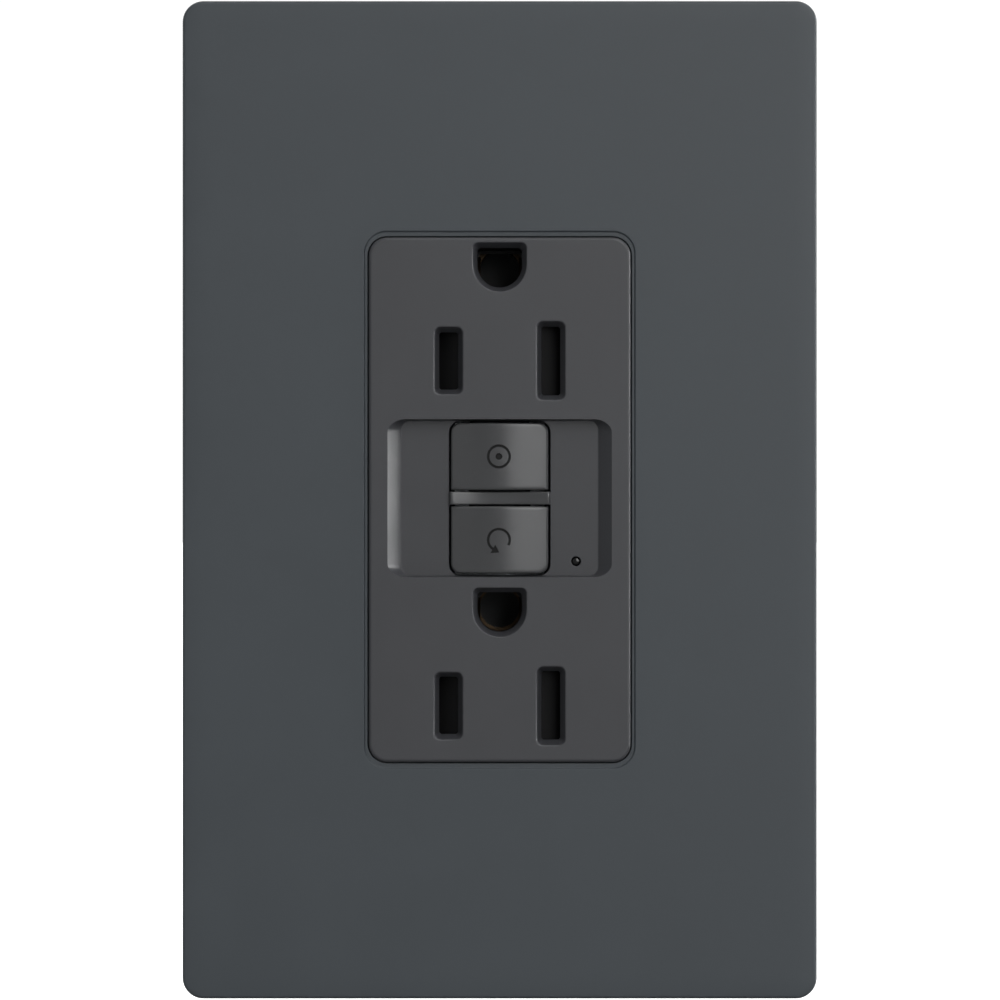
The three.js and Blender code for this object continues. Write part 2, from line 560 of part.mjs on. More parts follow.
function middleHousing() {
  const front = 6.3, back = 13.6;
  let housing = alongY(centred(BODY_W, BODY_H, BODY_R, 2), [front, back]);
  housing = cut(housing,
    alongY(centred(BODY_W - 2 * BODY_WALL, BODY_H - 2 * BODY_WALL, 1.0, 1), [6, 11.8]),
    SIGNS.map((end) => box([-8.8, 8.8], [6, 7.7], span(end, 32, 35)))); // strap notches
  housing = addWells(housing);
  // cup that seats the reset spring and guides the pin
  housing = join(housing, rodY(3.5, [8.1, 12.2], 0, PIN_Z));
  housing = cut(housing,
    rodY(1.25, [5, 14], 0, PIN_Z, 12),
    rodY(1.6, [5, 14], LED_X, LED_Z, 12));
  // block for the test contact
  housing = join(housing, box([-2.6, 2.6], [8.6, 12.0], [7.4, 10.4]));
  // slots for the tails of the face contacts
  housing = cut(housing, SIGNS.map((side) => box(span(side, 11.6, 12.9), [6, 14], [-6.5, -1.9])));
  // posts round the housing screws, and terminal pockets open at the side
  for (const [side, end] of CORNERS) {
    housing = join(housing,
      housingPost([side, end], [front, back]),
      box(span(side, 14.8, 20), [9.0, back], about(end * TERM_Z, 6.6)));
    housing = cut(housing,
      terminalPocket(side, end, [9.9, 14]),
      terminalScrewHole(side, end),
      housingScrewHole(side, end, [5, 14]));
  }
  return cut(housing, groundScrewHole());
}
part("middle_housing", middleHousing(), FINISH.separator);

// ============================================================ rear housing
// Back-wire hole with a flared mouth: (radius, y)
const WIRE_HOLE = [[0, 19.0], [1.5, 19.0], [1.5, 28.3], [2.3, 29.1], [2.3, 30], [0, 30]];

function rearHousing() {
  const front = 13.8, floor = 27.3;
  let housing = alongY(centred(BODY_W, BODY_H, BODY_R, 2), [front, BODY_BACK]);
  housing = cut(housing,
    box([-19.3, 19.3], [13, floor], [-16.5, 16.5]),
    box([-14.8, 14.8], [13, floor], [-32.3, 32.3]));
  for (const [side, end] of CORNERS) {
    const screwX = side * SCREW_X, screwZ = end * SCREW_Z;
    // notch in the pocket wall for the strip of each terminal
    const [notchBack, notchZ] = end > 0 ? [19.2, [19.0, 21.6]] : [15.0, [-28.4, -25.6]];
    housing = join(housing, rodY(3.2, [front, 27.6], screwX, screwZ));
    housing = cut(housing,
      terminalPocket(side, end, [13, 19.7]),
      terminalScrewHole(side, end),
      box(span(side, 12, 17), [13, notchBack], notchZ),
      housingScrewHole(side, end, [12, 30]),
      rodY(2.8, [27.0, 30], screwX, screwZ),
      about(end * TERM_Z, WIRE_DZ).map((z) => turnedY(WIRE_HOLE, side * 18.8, z, 10)));
  }
  return cut(housing,
    groundScrewHole(),
    box([-4.3, 4.3], [13, 16.6], [32, 33.2]), // room for the well of the upper ground hole
    alongY(centred(24, 40, 1.5, 2), [28.7, 30])); // shallow panel on the back
}
part("rear_housing", rearHousing(), FINISH.housing);

// (radius, y)
const HOUSING_SCREW = [
  [0, 3.1], [0.7, 3.1], [1.2, 4.0], [1.2, 27.2], [2.5, 27.2], [2.5, 27.9], [1.7, 28.7],
  [0, 28.8],
];
const HOUSING_SLOT = { reach: 1.6, half: 0.4, depth: [27.9, 30] };
for (const [level, end] of ENDS)
  for (const [hand, side] of [["left", -1], ["right", 1]])
    part(`housing_screw_${level}_${hand}`,
      screwY(HOUSING_SCREW, side * SCREW_X, end * SCREW_Z, HOUSING_SLOT, 12), FINISH.steel);

// ================================================================ terminals
const TERM_PLATE_Y = [10.2, 19.0];
const terminalPlate = (side, end, zs) => cut(
  box(span(side, ...TERM_PLATE_X), TERM_PLATE_Y, zs),
  rodX(2.15, span(side, 16, 18), TERM_Y, end * TERM_Z));

// Plate, leg back to the board, strip behind the transformers and a post
// forward through them to the root of the moving arm
function lineTerminal(side) {
  const legZ = [19.4, 21.2], stripY = [24.5, 25.2], postZ = about(TRANSFORMER_Z, 0.8);
  return join(terminalPlate(side, 1, about(TERM_Z, 4.6)),
    box(span(side, 12.8, 17.6), [18.0, 18.8], legZ),
    box(span(side, 12.8, 13.6), [18.0, 25.2], legZ),
    box(span(side, 9.2, 13.6), stripY, legZ),
    box(span(side, 9.2, 10.6), stripY, [15.2, 21.2]),
    box(span(side, 0.5, 10.6), stripY, postZ),
    box(span(side, 0.5, 1.7), [14.6, 25.2], postZ),
    box(span(side, 0.5, 9.5), [14.6, 15.2], postZ));
}

// Moving arm, fixed at its upper end, with two contacts at the free end
function lineArm(side) {
  const armY = [15.4, 15.9];
  return join(
    box(span(side, 6.5, 9.5), armY, [-2.6, 16.6]),
    box(span(side, 5.9, 12.0), armY, [-6.1, -2.2]),
    [LOAD_CONTACT_X, FACE_CONTACT_X].map((x) =>
      rodY(CONTACT_R, [15.0, 15.5], side * x, CONTACT_Z, 12)));
}

// Plate and bus to the second fixed contact
function loadTerminal(side) {
  const busY = [13.9, 14.6];
  return join(terminalPlate(side, -1, [-TERM_Z - 5.2, -TERM_Z + 4.6]),
    box(span(side, 5.6, 17.6), busY, [-28.2, -25.8]),
    box(span(side, 5.6, 7.9), busY, [-28.2, -2.3]),
    rodY(CONTACT_R, [14.4, 14.9], side * LOAD_CONTACT_X, CONTACT_Z, 12));
}

function terminalClamp(side, z) {
  return cut(
    alongX(rounded(TERM_PLATE_Y, about(z, 4.4), 0.7, 1), span(side, 17.8, 19.0)),
    rodX(2.2, span(side, 17, 20), TERM_Y, z),
    // wire grooves on the inner face
    about(z, WIRE_DZ).map((grooveZ) => rodY(1.3, [9, 20], side * 17.05, grooveZ, 10)));
}

// Side screws and the ground screw: (radius, distance from the middle of the device)
const TERMINAL_SCREW = [
  [0, 9.6], [1.2, 9.6], [1.9, 10.4], [1.9, 19.15], [3.9, 19.15], [3.9, 20.6], [3.3, 21.3],
  [0, 21.4],
];
const GROUND_SCREW = [
  [0, 30.9], [1.2, 30.9], [1.9, 31.6], [1.9, 37.05], [3.9, 37.05], [3.9, 38.4],
  [3.3, 39.1], [0, 39.2],
];
const TERMINAL_SLOT = { reach: 2.6, half: 0.55 };

function terminalScrew(side, z) {
  const screw = turned(TERMINAL_SCREW, 16).rotateZ((-side * Math.PI) / 2).translate(0, TERM_Y, z);
  return cut(toSolid(screw), cross(TERMINAL_SLOT, (dy, dz) =>
    box(span(side, 20.2, 22), about(TERM_Y, dy), about(z, dz))));
}

for (const { pole, side, metal } of POLES) {
  part(`line_${pole}_terminal`, lineTerminal(side), metal);
  part(`line_${pole}_arm`, lineArm(side), FINISH.copper);
  part(`load_${pole}_terminal`, loadTerminal(side), metal);
  for (const [circuit, z] of [["line", TERM_Z], ["load", -TERM_Z]]) {
    part(`${circuit}_${pole}_clamp`, terminalClamp(side, z), FINISH.zinc);
    part(`${circuit}_${pole}_screw`, terminalScrew(side, z), metal);
  }
}

function groundClamp() {
  const outline = rounded(about(GROUND_SCREW_X, 4.4), about(GROUND_SCREW_Y, 4.2), 0.7, 1);
  return cut(alongZ(outline, [-36.9, -35.7]),
    rodZ(2.2, [-38, -35], GROUND_SCREW_X, GROUND_SCREW_Y));
}
part("ground_clamp", groundClamp(), FINISH.zinc);

function groundScrew() {
  const screw = turned(GROUND_SCREW, 16).rotateX(-Math.PI / 2)
    .translate(GROUND_SCREW_X, GROUND_SCREW_Y, 0);
  return cut(toSolid(screw), cross(TERMINAL_SLOT, (dx, dy) =>
    box(about(GROUND_SCREW_X, dx), about(GROUND_SCREW_Y, dy), [-40, -38.0])));
}
part("ground_screw", groundScrew(), FINISH.green);

// ============================================================ trip mechanism
// Block that lifts the arms; it hangs on the reset pin
function latchBlock() {
  return cut(
    join(
      box([-4.4, 4.4], [16.1, 20.2], [-7.1, -0.8]),
      box([-11.4, 11.4], [16.1, 17.3], [-5.8, -2.6])),
    rodY(1.35, [15, 22], 0, PIN_Z),
    box([-3.1, 3.1], [18.0, 19.2], [-9, 1])); // tunnel for the latch plate
}
part("latch_block", latchBlock(), FINISH.nylon);

// Sliding latch with the slot that catches the pin
function latchPlate() {
  const width = [-2.8, 2.8], holeZ = PIN_Z - 1.8;
  const plate = cut(box(width, [18.2, 19.0], [-9.9, 0.8]),
    rodY(1.45, [17, 20], 0, holeZ),
    box([-0.9, 0.9], [17, 20], [holeZ, PIN_Z + 0.95]));
  return join(plate, box(width, [18.2, 22.4], [-9.9, -9.2]));
}
part("latch_plate", latchPlate(), FINISH.steel);

function solenoidBobbin() {
  const flange = rounded([-4.4, 4.4], about(SOLENOID_Y, 4.3), 0.8, 1);
  return cut(
    join(
      rodZ(2.3, [-27.4, -13.6], 0, SOLENOID_Y),
      [-27.4, -14.4].map((z) => alongZ(flange, [z, z + 0.8]))),
    rodZ(1.85, [-30, -10], 0, SOLENOID_Y));
}
part("solenoid_bobbin", solenoidBobbin(), FINISH.nylon);
part("solenoid_coil",
  cut(rodZ(4.0, [-26.4, -14.6], 0, SOLENOID_Y, 20), rodZ(2.45, [-28, -12], 0, SOLENOID_Y)),
  FINISH.copper);

const PLUNGER = [ // (radius, z)
  [0, -31.3], [2.7, -31.3], [2.7, -30.6], [1.65, -30.6], [1.65, -11.0], [1.1, -10.2],
  [0, -10.2],
];
part("solenoid_plunger",
  toSolid(turned(PLUNGER).rotateX(Math.PI / 2).translate(0, SOLENOID_Y, 0)), FINISH.steel);
part("plunger_spring", coilSpring({
  radius: 2.15, wire: 0.35, length: 2.5, turns: 2.5, perTurn: 8, sides: 4,
  place: (u, v, along) => [u, SOLENOID_Y + v, -30.25 + along],
}), FINISH.steel);

// Leaf that the test button pushes, with its upper end bent back
const testContactArm = () => join(
  box([-1.2, 1.2], [4.9, 5.2], [2.2, 9.2]),
  box([-1.2, 1.2], [4.9, 8.3], [8.6, 9.2]));
part("test_contact_arm", testContactArm(), FINISH.copper);

// ============================================================== electronics
// Ring-shaped cup, open to the front, round both transformers: (radius, y)
const TRANSFORMER_CUP = [
  [2.9, 16.4], [3.6, 16.4], [3.6, 23.5], [7.9, 23.5], [7.9, 16.4], [8.6, 16.4],
  [8.6, 24.2], [2.9, 24.2], [2.9, 16.4],
];
part("transformer_cup", turnedY(TRANSFORMER_CUP, 0, TRANSFORMER_Z, 20), FINISH.nylon);

// Ring core with chamfered edges
function transformerCore(front) {
  const back = front + 3, inner = 3.9, outer = 7.4, edge = 0.4;
  return turnedY([
    [inner + edge, front], [outer - edge, front], [outer, front + edge], [outer, back - edge],
    [outer - edge, back], [inner + edge, back], [inner, back - edge], [inner, front + edge],
    [inner + edge, front],
  ], 0, TRANSFORMER_Z, 16);
}
part("sense_transformer", transformerCore(16.9), FINISH.ferrite);
part("neutral_transformer", transformerCore(20.2), FINISH.ferrite);

function circuitBoard() {
  const rootY = 25.7; // components reach just into the board
  const board = cut(alongY(rounded([-14.4, 14.4], [-31.8, 31.8], 1.0, 2), [25.6, 27.0]),
    CORNERS.map(([side, end]) => rodY(3.6, [25, 28], side * SCREW_X, end * SCREW_Z)));
  return join(board,
    box([-13.4, -9.0], [24.0, rootY], [1.0, 6.0]), // chip
    box([9.6, 14.0], [18.2, rootY], [0.8, 9.6]), // film capacitor
    rodX(4.3, [-13.6, -10.6], 21.4, -21.0), // varistor
    box([-13.4, -10.8], [21, rootY], [-23.5, -18.5]), // its base
    box([9.4, 11.4], [21.5, rootY], [-24.0, -18.6]), // thyristor
    rodZ(1.1, [-15.2, -9.8], -11.6, 24.6, 10), // resistor
    box([-12.0, -11.2], [24.4, rootY], [-13.6, -11.4])); // its base
}
part("circuit_board", circuitBoard(), FINISH.board);

export default group;
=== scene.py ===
# GFCI duplex receptacle: wall plate, face, housings, strap and the mechanism inside.
# Shapes are drawn in millimetres as seen from the room: x to the right, z up, y into the wall,
# with y = 0 the plane of the finished wall. `piece` moves them into the frame's metres.
import json
import math
from math import cos, pi, radians, sin
import bmesh
import bpy
import numpy as np
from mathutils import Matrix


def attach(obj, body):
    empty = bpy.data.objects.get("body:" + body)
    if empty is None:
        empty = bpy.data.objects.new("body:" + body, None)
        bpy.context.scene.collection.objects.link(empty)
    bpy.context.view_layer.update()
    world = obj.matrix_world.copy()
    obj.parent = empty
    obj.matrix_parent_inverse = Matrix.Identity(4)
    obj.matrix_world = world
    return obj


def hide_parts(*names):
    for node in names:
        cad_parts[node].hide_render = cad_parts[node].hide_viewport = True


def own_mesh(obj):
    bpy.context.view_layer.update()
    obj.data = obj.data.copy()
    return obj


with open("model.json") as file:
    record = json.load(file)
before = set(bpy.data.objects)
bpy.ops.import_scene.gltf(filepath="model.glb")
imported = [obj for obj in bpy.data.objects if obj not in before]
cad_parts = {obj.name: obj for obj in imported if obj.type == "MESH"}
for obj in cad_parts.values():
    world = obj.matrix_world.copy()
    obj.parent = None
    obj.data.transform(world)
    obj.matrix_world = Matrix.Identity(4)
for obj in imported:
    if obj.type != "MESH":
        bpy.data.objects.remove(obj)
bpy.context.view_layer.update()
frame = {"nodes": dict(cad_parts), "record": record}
NODES = frame["nodes"]
scene = bpy.context.scene

# ================================================================= dimensions (mm)
WALL_Y = 11.25                  # the frame's origin lies this far behind the wall plane
TO_WALL = np.array([0, WALL_Y, 0])
PLATE_W, PLATE_H, PLATE_R, PLATE_FRONT = 78.7, 123.8, 2.6, -6.2
OPEN_W, OPEN_H, OPEN_R = 33.5, 66.5, 2.7                        # opening in the wall plate
LIP_W, LIP_H, LIP_R, LIP_FRONT = 32.76, 65.36, 2.40, -6.0       # thin ledge in that opening
FACE_W, FACE_H, FACE_R, FACE_FRONT = 32.5, 65.1, 2.3, -6.5
BODY_W, BODY_H, BODY_R = 42.0, 68.0, 1.6
MOUNT_Z, PLATE_SCREW_Z = 41.65, 48.4
BLADE_X, BLADE_Z, GROUND_Z = 6.35, (17.25, -25.55), (29.15, -13.65)
PANEL_Z, PANEL_FLOOR = 0.2, -4.9                                # sunk panel round the buttons
BUTTON_W, BUTTON_MID, BUTTON_EDGE = 6.05, -6.25, -5.45          # half width, y of the crown
MARK_FLOOR, MARK_X, MARK_IN, MARK_OUT = -6.04, -0.1, 1.18, 1.5
LED = (9.49, -7.65)                                             # x, z
PIN_Z = -4.9
TERM_Z, TERM_Y, WIRE_DZ, POCKET_X = 23.0, 14.6, 3.1, 16.7
SCREW_X, SCREW_Z = 17.4, 30.7                                   # the housing's four screws
GROUND_SCREW = (12.4, 12.6)                                     # x, y
COIL_Y, RING_CENTRE = 20.7, (0, 16.0)

ROOT = "receptacle"
SIGNS = (-1, 1)
CORNERS = [(side, end) for side in SIGNS for end in SIGNS]
SIDES = ((-1, "hot", "brass"), (1, "neutral", "nickel"))
ENDS = (("upper", 1), ("lower", -1))


# =============================================================== geometry kit
class Shape:
    """Points in millimetres and faces as tuples of point indices."""

    def __init__(self, points, faces):
        self.points = np.array(points, float).reshape(-1, 3)
        self.faces = [tuple(int(i) for i in face) for face in faces]


def merge(shapes):
    faces, count = [], 0
    for shape in shapes:
        faces += [tuple(i + count for i in face) for face in shape.faces]
        count += len(shape.points)
    return Shape(np.concatenate([shape.points for shape in shapes]), faces)


def outward(shape):
    """Turns the faces over if the enclosed volume comes out negative."""
    volume = 0.0
    for face in shape.faces:
        first, *rest = shape.points[list(face)]
        for a, b in zip(rest, rest[1:]):
            volume += float(np.dot(first, np.cross(a, b)))
    if volume < 0:
        shape.faces = [tuple(reversed(face)) for face in shape.faces]
    return shape


def quarter(spans):
    return [radians(90 * k / spans) for k in range(spans + 1)]


def arc(cx, cy, radius, start, end, spans):
    """Points from start to end in degrees. radius: one number or (x radius, y radius)."""
    rx, ry = radius if isinstance(radius, tuple) else (radius, radius)
    angles = [radians(start + (end - start) * i / spans) for i in range(spans + 1)]
    return [(cx + rx * cos(a), cy + ry * sin(a)) for a in angles]


def rect(x0, y0, x1, y1, radius, spans=8, sides=(1, 1)):
    """Rounded rectangle, anticlockwise from the lower right. radius: one value, or a list (lower
    right, upper right, upper left, lower left), each a number or (x radius, y radius).
    sides: how many spans the (horizontal, vertical) straight sides have."""
    x0, x1 = sorted((x0, x1))
    y0, y1 = sorted((y0, y1))
    radii = radius if isinstance(radius, list) else [radius] * 4
    radii = [r if isinstance(r, tuple) else (r, r) for r in radii]
    radii = [(max(a, 1e-3), max(b, 1e-3)) for a, b in radii]
    centres = [(x1 - radii[0][0], y0 + radii[0][1]), (x1 - radii[1][0], y1 - radii[1][1]),
               (x0 + radii[2][0], y1 - radii[2][1]), (x0 + radii[3][0], y0 + radii[3][1])]
    out = []
    for k in range(4):
        out += arc(*centres[k], radii[k], -90 + 90 * k, 90 * k, spans)
        after = (k + 1) % 4
        a, b = out[-1], arc(*centres[after], radii[after], 90 * k, 90 * k + 90, spans)[0]
        count = sides[1] if k % 2 == 0 else sides[0]
        for i in range(1, count):
            t = i / count
            out.append((a[0] * (1 - t) + b[0] * t, a[1] * (1 - t) + b[1] * t))
    return out


def mid_rect(width, height, radius, spans=8, cx=0.0, cy=0.0):
    return rect(cx - width / 2, cy - height / 2, cx + width / 2, cy + height / 2, radius, spans)


def soften(points, radius=0.3, spans=4, closed=True):
    """Rounds the corners of an outline. A point may carry its own radius: (x, y, radius).
    spans: how many a right-angled corner gets."""
    corners = [np.array(p[:2], float) for p in points]
    count, out = len(points), []
    for i, point in enumerate(points):
        corner = corners[i]
        wanted = point[2] if len(point) > 2 else radius
        if wanted <= 0 or (not closed and i in (0, count - 1)):
            out.append(tuple(corner))
            continue
        a, b = corners[i - 1] - corner, corners[(i + 1) % count] - corner
        len_a, len_b = np.linalg.norm(a), np.linalg.norm(b)
        if len_a < 1e-9 or len_b < 1e-9:
            continue
        a, b = a / len_a, b / len_b
        angle = math.acos(max(-1, min(1, float(a @ b))))
        if angle > pi - 0.02 or angle < 0.02:
            out.append(tuple(corner))
            continue
        reach = min(wanted / math.tan(angle / 2), 0.48 * len_a, 0.48 * len_b)
        r = reach * math.tan(angle / 2)
        centre = corner + (a + b) / np.linalg.norm(a + b) * (r / sin(angle / 2))
        first, last = corner + a * reach - centre, corner + b * reach - centre
        start = math.atan2(first[1], first[0])
        turn = (math.atan2(last[1], last[0]) - start + pi) % (2 * pi) - pi
        steps = max(1, int(round(spans * abs(turn) / (pi / 2))))
        angles = [start + turn * k / steps for k in range(steps + 1)]
        out += [tuple(centre + r * np.array([cos(t), sin(t)])) for t in angles]
    return out


def soft_line(points, radius=0.15, spans=4):
    return soften(points, radius, spans, closed=False)


def ccw(outline):
    p = np.array(outline, float)
    q = np.roll(p, -1, 0)
    area = float(np.sum(p[:, 0] * q[:, 1] - q[:, 0] * p[:, 1]))
    return p if area > 0 else p[::-1].copy()


def inset(outline, distance):
    """Anticlockwise outline moved inwards, or outwards if distance < 0."""
    p = np.array(outline, float)
    edge = np.roll(p, -1, 0) - p
    along = edge / np.maximum(np.linalg.norm(edge, axis=1), 1e-9)[:, None]
    normal = np.stack([-along[:, 1], along[:, 0]], 1)
    before = np.roll(normal, 1, 0)
    spread = np.maximum(1 + np.sum(normal * before, 1), 0.25)[:, None]
    return p + distance * ((normal + before) / spread)


def place(outline, at, axis):
    """Stands a flat outline at a place (one, or one per point) along an axis."""
    u, v = np.array(outline, float).T
    at = np.broadcast_to(np.asarray(at, float), u.shape)
    return np.stack({"x": (at, u, v), "y": (u, at, v), "z": (u, v, at)}[axis], 1)


def loft(rings, loop=False):
    """Skins rings of equal length; the ends are capped, or joined to each other if loop."""
    n, m = len(rings[0]), len(rings)
    faces = []
    for k in range(m if loop else m - 1):
        a, b = k * n, (k + 1) % m * n
        faces += [(a + i, a + (i + 1) % n, b + (i + 1) % n, b + i) for i in range(n)]
    if not loop:
        faces += [tuple(reversed(range(n))), tuple(range((m - 1) * n, m * n))]
    return outward(Shape(np.concatenate(rings), faces))


def end_profile(at, inward, rounded, flared, steps, beyond):
    """(inset, position) pairs from one end of a prism towards its middle."""
    if flared:
        return [(-flared, at - inward * beyond)] + [
            (-flared * (1 - cos(t)), at + inward * flared * (1 - sin(t)))
            for t in reversed(quarter(steps))]
    if rounded:
        return [(rounded * (1 - sin(t)), at + inward * rounded * (1 - cos(t)))
                for t in quarter(steps)]
    return [(0, at)]


def prism(outline, start, end, axis="y", round0=0.0, round1=0.0, flare0=0.0, flare1=0.0,
          steps=3, beyond=1.5):
    """Outline swept along an axis. round: rounds that end's edge inwards. flare: that end is a
    hole's mouth, rounded outwards, and the cutter goes on past it by `beyond`."""
    outline = ccw(outline)
    start, end = sorted((start, end))
    profile = (end_profile(start, 1, round0, flare0, steps, beyond)
               + end_profile(end, -1, round1, flare1, steps, beyond)[::-1])
    return loft([place(inset(outline, i), at, axis) for i, at in profile])


def box(x0, y0, z0, x1, y1, z1, r=0.0):
    x0, x1 = sorted((x0, x1))
    z0, z1 = sorted((z0, z1))
    if r:
        return prism(rect(x0, z0, x1, z1, r, 3), y0, y1, round0=r, round1=r)
    return prism([(x0, z0), (x1, z0), (x1, z1), (x0, z1)], y0, y1)


def rod(radius, start, end, centre=(0, 0), axis="y", n=32, **ends):
    return prism(arc(*centre, radius, 0, 360, n)[:n], start, end, axis, **ends)


def lathe(profile, centre=(0, 0), axis="y", n=36, loop=False, wave=None):
    """Turned solid. profile: (radius, height) from the axis back to the axis, or a closed loop.
    wave(height, angle) is added to the radius."""
    points, faces, rows = [], [], []
    for radius, height in profile:
        if radius < 1e-6 and not loop:
            rows.append([len(points)])
            points.append((0, 0, height))
            continue
        rows.append(list(range(len(points), len(points) + n)))
        for i in range(n):
            angle = 2 * pi * i / n
            r = radius + (wave(height, angle) if wave else 0)
            points.append((r * cos(angle), r * sin(angle), height))
    for k in range(len(rows) if loop else len(rows) - 1):
        a, b = rows[k], rows[(k + 1) % len(rows)]
        if len(a) == 1 and len(b) == 1:
            continue
        for i in range(n):
            j = (i + 1) % n
            if len(a) == 1:
                faces.append((a[0], b[j], b[i]))
            elif len(b) == 1:
                faces.append((a[i], a[j], b[0]))
            else:
                faces.append((a[i], a[j], b[j], b[i]))
    points = np.array(points, float)
    return outward(Shape(place(points[:, :2] + np.array(centre), points[:, 2], axis), faces))


def ring(r0, r1, h0, h1, centre, axis, n):
    return lathe([(r0, h0), (r1, h0), (r1, h1), (r0, h1)], centre, axis, n, loop=True)


def tube(path, radius, n):
    path = np.array(path, float)
    along = np.gradient(path, axis=0)
    along /= np.linalg.norm(along, axis=1)[:, None]
    across = np.cross(along[0], [0.123, 0.456, 0.881])     # any direction off the path will do
    across /= np.linalg.norm(across)
    rings = []
    for point, ahead in zip(path, along):
        across = across - ahead * (across @ ahead)
        across /= np.linalg.norm(across)
        third = np.cross(ahead, across)
        rings.append(np.array([point + radius * (across * cos(2 * pi * i / n)
                                                 + third * sin(2 * pi * i / n))
                               for i in range(n)]))
    return loft(rings)


def coil(radius, turns, start, length, centre, axis, points, wire, n, ease=None):
    """Helix of wire. ease: (fractions of the turns, fractions of the length) for closed ends."""
    t = np.linspace(0, 1, points)
    angle = t * turns * 2 * pi
    if ease:
        t = np.interp(t, *ease)
    circle = np.stack([centre[0] + radius * np.cos(angle), centre[1] + radius * np.sin(angle)], 1)
    return tube(place(circle, start + length * t, axis), wire, n)


# ------------------------------------------------------- Blender-side helpers
def to_object(shape):
    mesh = bpy.data.meshes.new("tmp")
    mesh.from_pydata([tuple(p) for p in shape.points], [], shape.faces)
    mesh.update()
    made = bpy.data.objects.new("tmp", mesh)
    scene.collection.objects.link(made)
    return made


def drop(made):
    mesh = made.data
    bpy.data.objects.remove(made)
    bpy.data.meshes.remove(mesh)


def shape_of(mesh):
    flat = np.zeros(len(mesh.vertices) * 3)
    mesh.vertices.foreach_get("co", flat)
    return Shape(flat, [tuple(p.vertices) for p in mesh.polygons])


def evaluated(made):
    """The shape of an object with its modifiers applied."""
    bpy.context.view_layer.update()
    graph = bpy.context.evaluated_depsgraph_get()
    mesh = bpy.data.meshes.new_from_object(made.evaluated_get(graph))
    shape = shape_of(mesh)
    bpy.data.meshes.remove(mesh)
    return shape


def tidy(shape, weld=1e-4, flat=0.2):
    """Welds doubled points and merges faces that meet within `flat` degrees."""
    made = to_object(shape)
    bm = bmesh.new()
    bm.from_mesh(made.data)
    bmesh.ops.remove_doubles(bm, verts=bm.verts, dist=weld)
    bmesh.ops.dissolve_degenerate(bm, dist=weld, edges=bm.edges)
    if flat:
        bmesh.ops.dissolve_limit(bm, angle_limit=radians(flat), verts=bm.verts, edges=bm.edges)
    bm.to_mesh(made.data)
    bm.free()
    out = shape_of(made.data)
    drop(made)
    return out


class Solid:
    """A base shape and the booleans to be applied to it in turn."""

    def __init__(self, base):
        self.base, self.steps = base, []

    def queue(self, operation, shapes):
        self.steps += [(operation, shape) for shape in shapes]
        return self

    def add(self, *shapes):
        return self.queue("UNION", shapes)

    def cut(self, *shapes):
        return self.queue("DIFFERENCE", shapes)

    def keep(self, *shapes):
        return self.queue("INTERSECT", shapes)

    def done(self, weld=1e-4, flat=0.2):
        base, tools = to_object(self.base), []
        for operation, shape in self.steps:
            tools.append(to_object(shape))
            boolean = base.modifiers.new("boolean", "BOOLEAN")
            boolean.operation = operation
            boolean.object, boolean.solver = tools[-1], "MANIFOLD"
        out = evaluated(base)
        if not out.faces:       # the manifold solver returns nothing for a shape it can't take
            for boolean in base.modifiers:
                boolean.solver = "EXACT"
            out = evaluated(base)
        for tool in tools:
            drop(tool)
        drop(base)
        return tidy(out, weld, flat)


def bevel(shape, width, segments=2, angle=35):
    made = to_object(shape)
    mod = made.modifiers.new("bevel", "BEVEL")
    mod.width, mod.segments = width, segments
    mod.limit_method, mod.angle_limit = "ANGLE", radians(angle)
    mod.use_clamp_overlap = True
    mod.miter_outer = "MITER_ARC" if segments > 2 else "MITER_SHARP"
    out = evaluated(made)
    drop(made)
    return out


def piece(node, suffix, shape, slot, body=ROOT, materials=None, smooth=38, weighted=True,
          pick=None):
    """Puts a finished shape in a CAD node's stead. materials: a key or list of keys, the slot's
    own if left out. pick(face centre in mm) gives the index where there are several."""
    name = f"{node}_{suffix}"
    mesh = bpy.data.meshes.new(name)
    mesh.from_pydata([tuple(p) for p in (shape.points - TO_WALL) * 0.001], [], shape.faces)
    mesh.update()
    mesh.validate(clean_customdata=False)
    keys = materials or slot
    for key in [keys] if isinstance(keys, str) else keys:
        mesh.materials.append(MATERIALS[key])
    if pick:
        for face in mesh.polygons:
            face.material_index = pick(np.array(face.center) * 1000 + TO_WALL)
    mesh.polygons.foreach_set("use_smooth", [True] * len(mesh.polygons))
    mesh.set_sharp_from_angle(angle=radians(smooth))
    made = bpy.data.objects.new(name, mesh)
    scene.collection.objects.link(made)
    if weighted:
        mod = made.modifiers.new("normals", "WEIGHTED_NORMAL")
        mod.keep_sharp, mod.weight, mod.mode = True, 100, "FACE_AREA"
    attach(made, body)
    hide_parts(node)
    return made


def compound(node, suffix, parts, slot, smooth=36):
    """One piece from several closed shapes: parts are (shape, material key)."""
    keys = list(dict.fromkeys(key for _, key in parts))
    index = [keys.index(key) for shape, key in parts for _ in shape.faces]
    made = piece(node, suffix, merge([shape for shape, _ in parts]), slot, materials=keys,
                 smooth=smooth)
    if len(made.data.polygons) == len(index):       # validation may have dropped a face
        made.data.polygons.foreach_set("material_index", index)


def spring(node, wire):
    made = piece(node, "wire", wire, "steel", weighted=False)
    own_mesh(made)


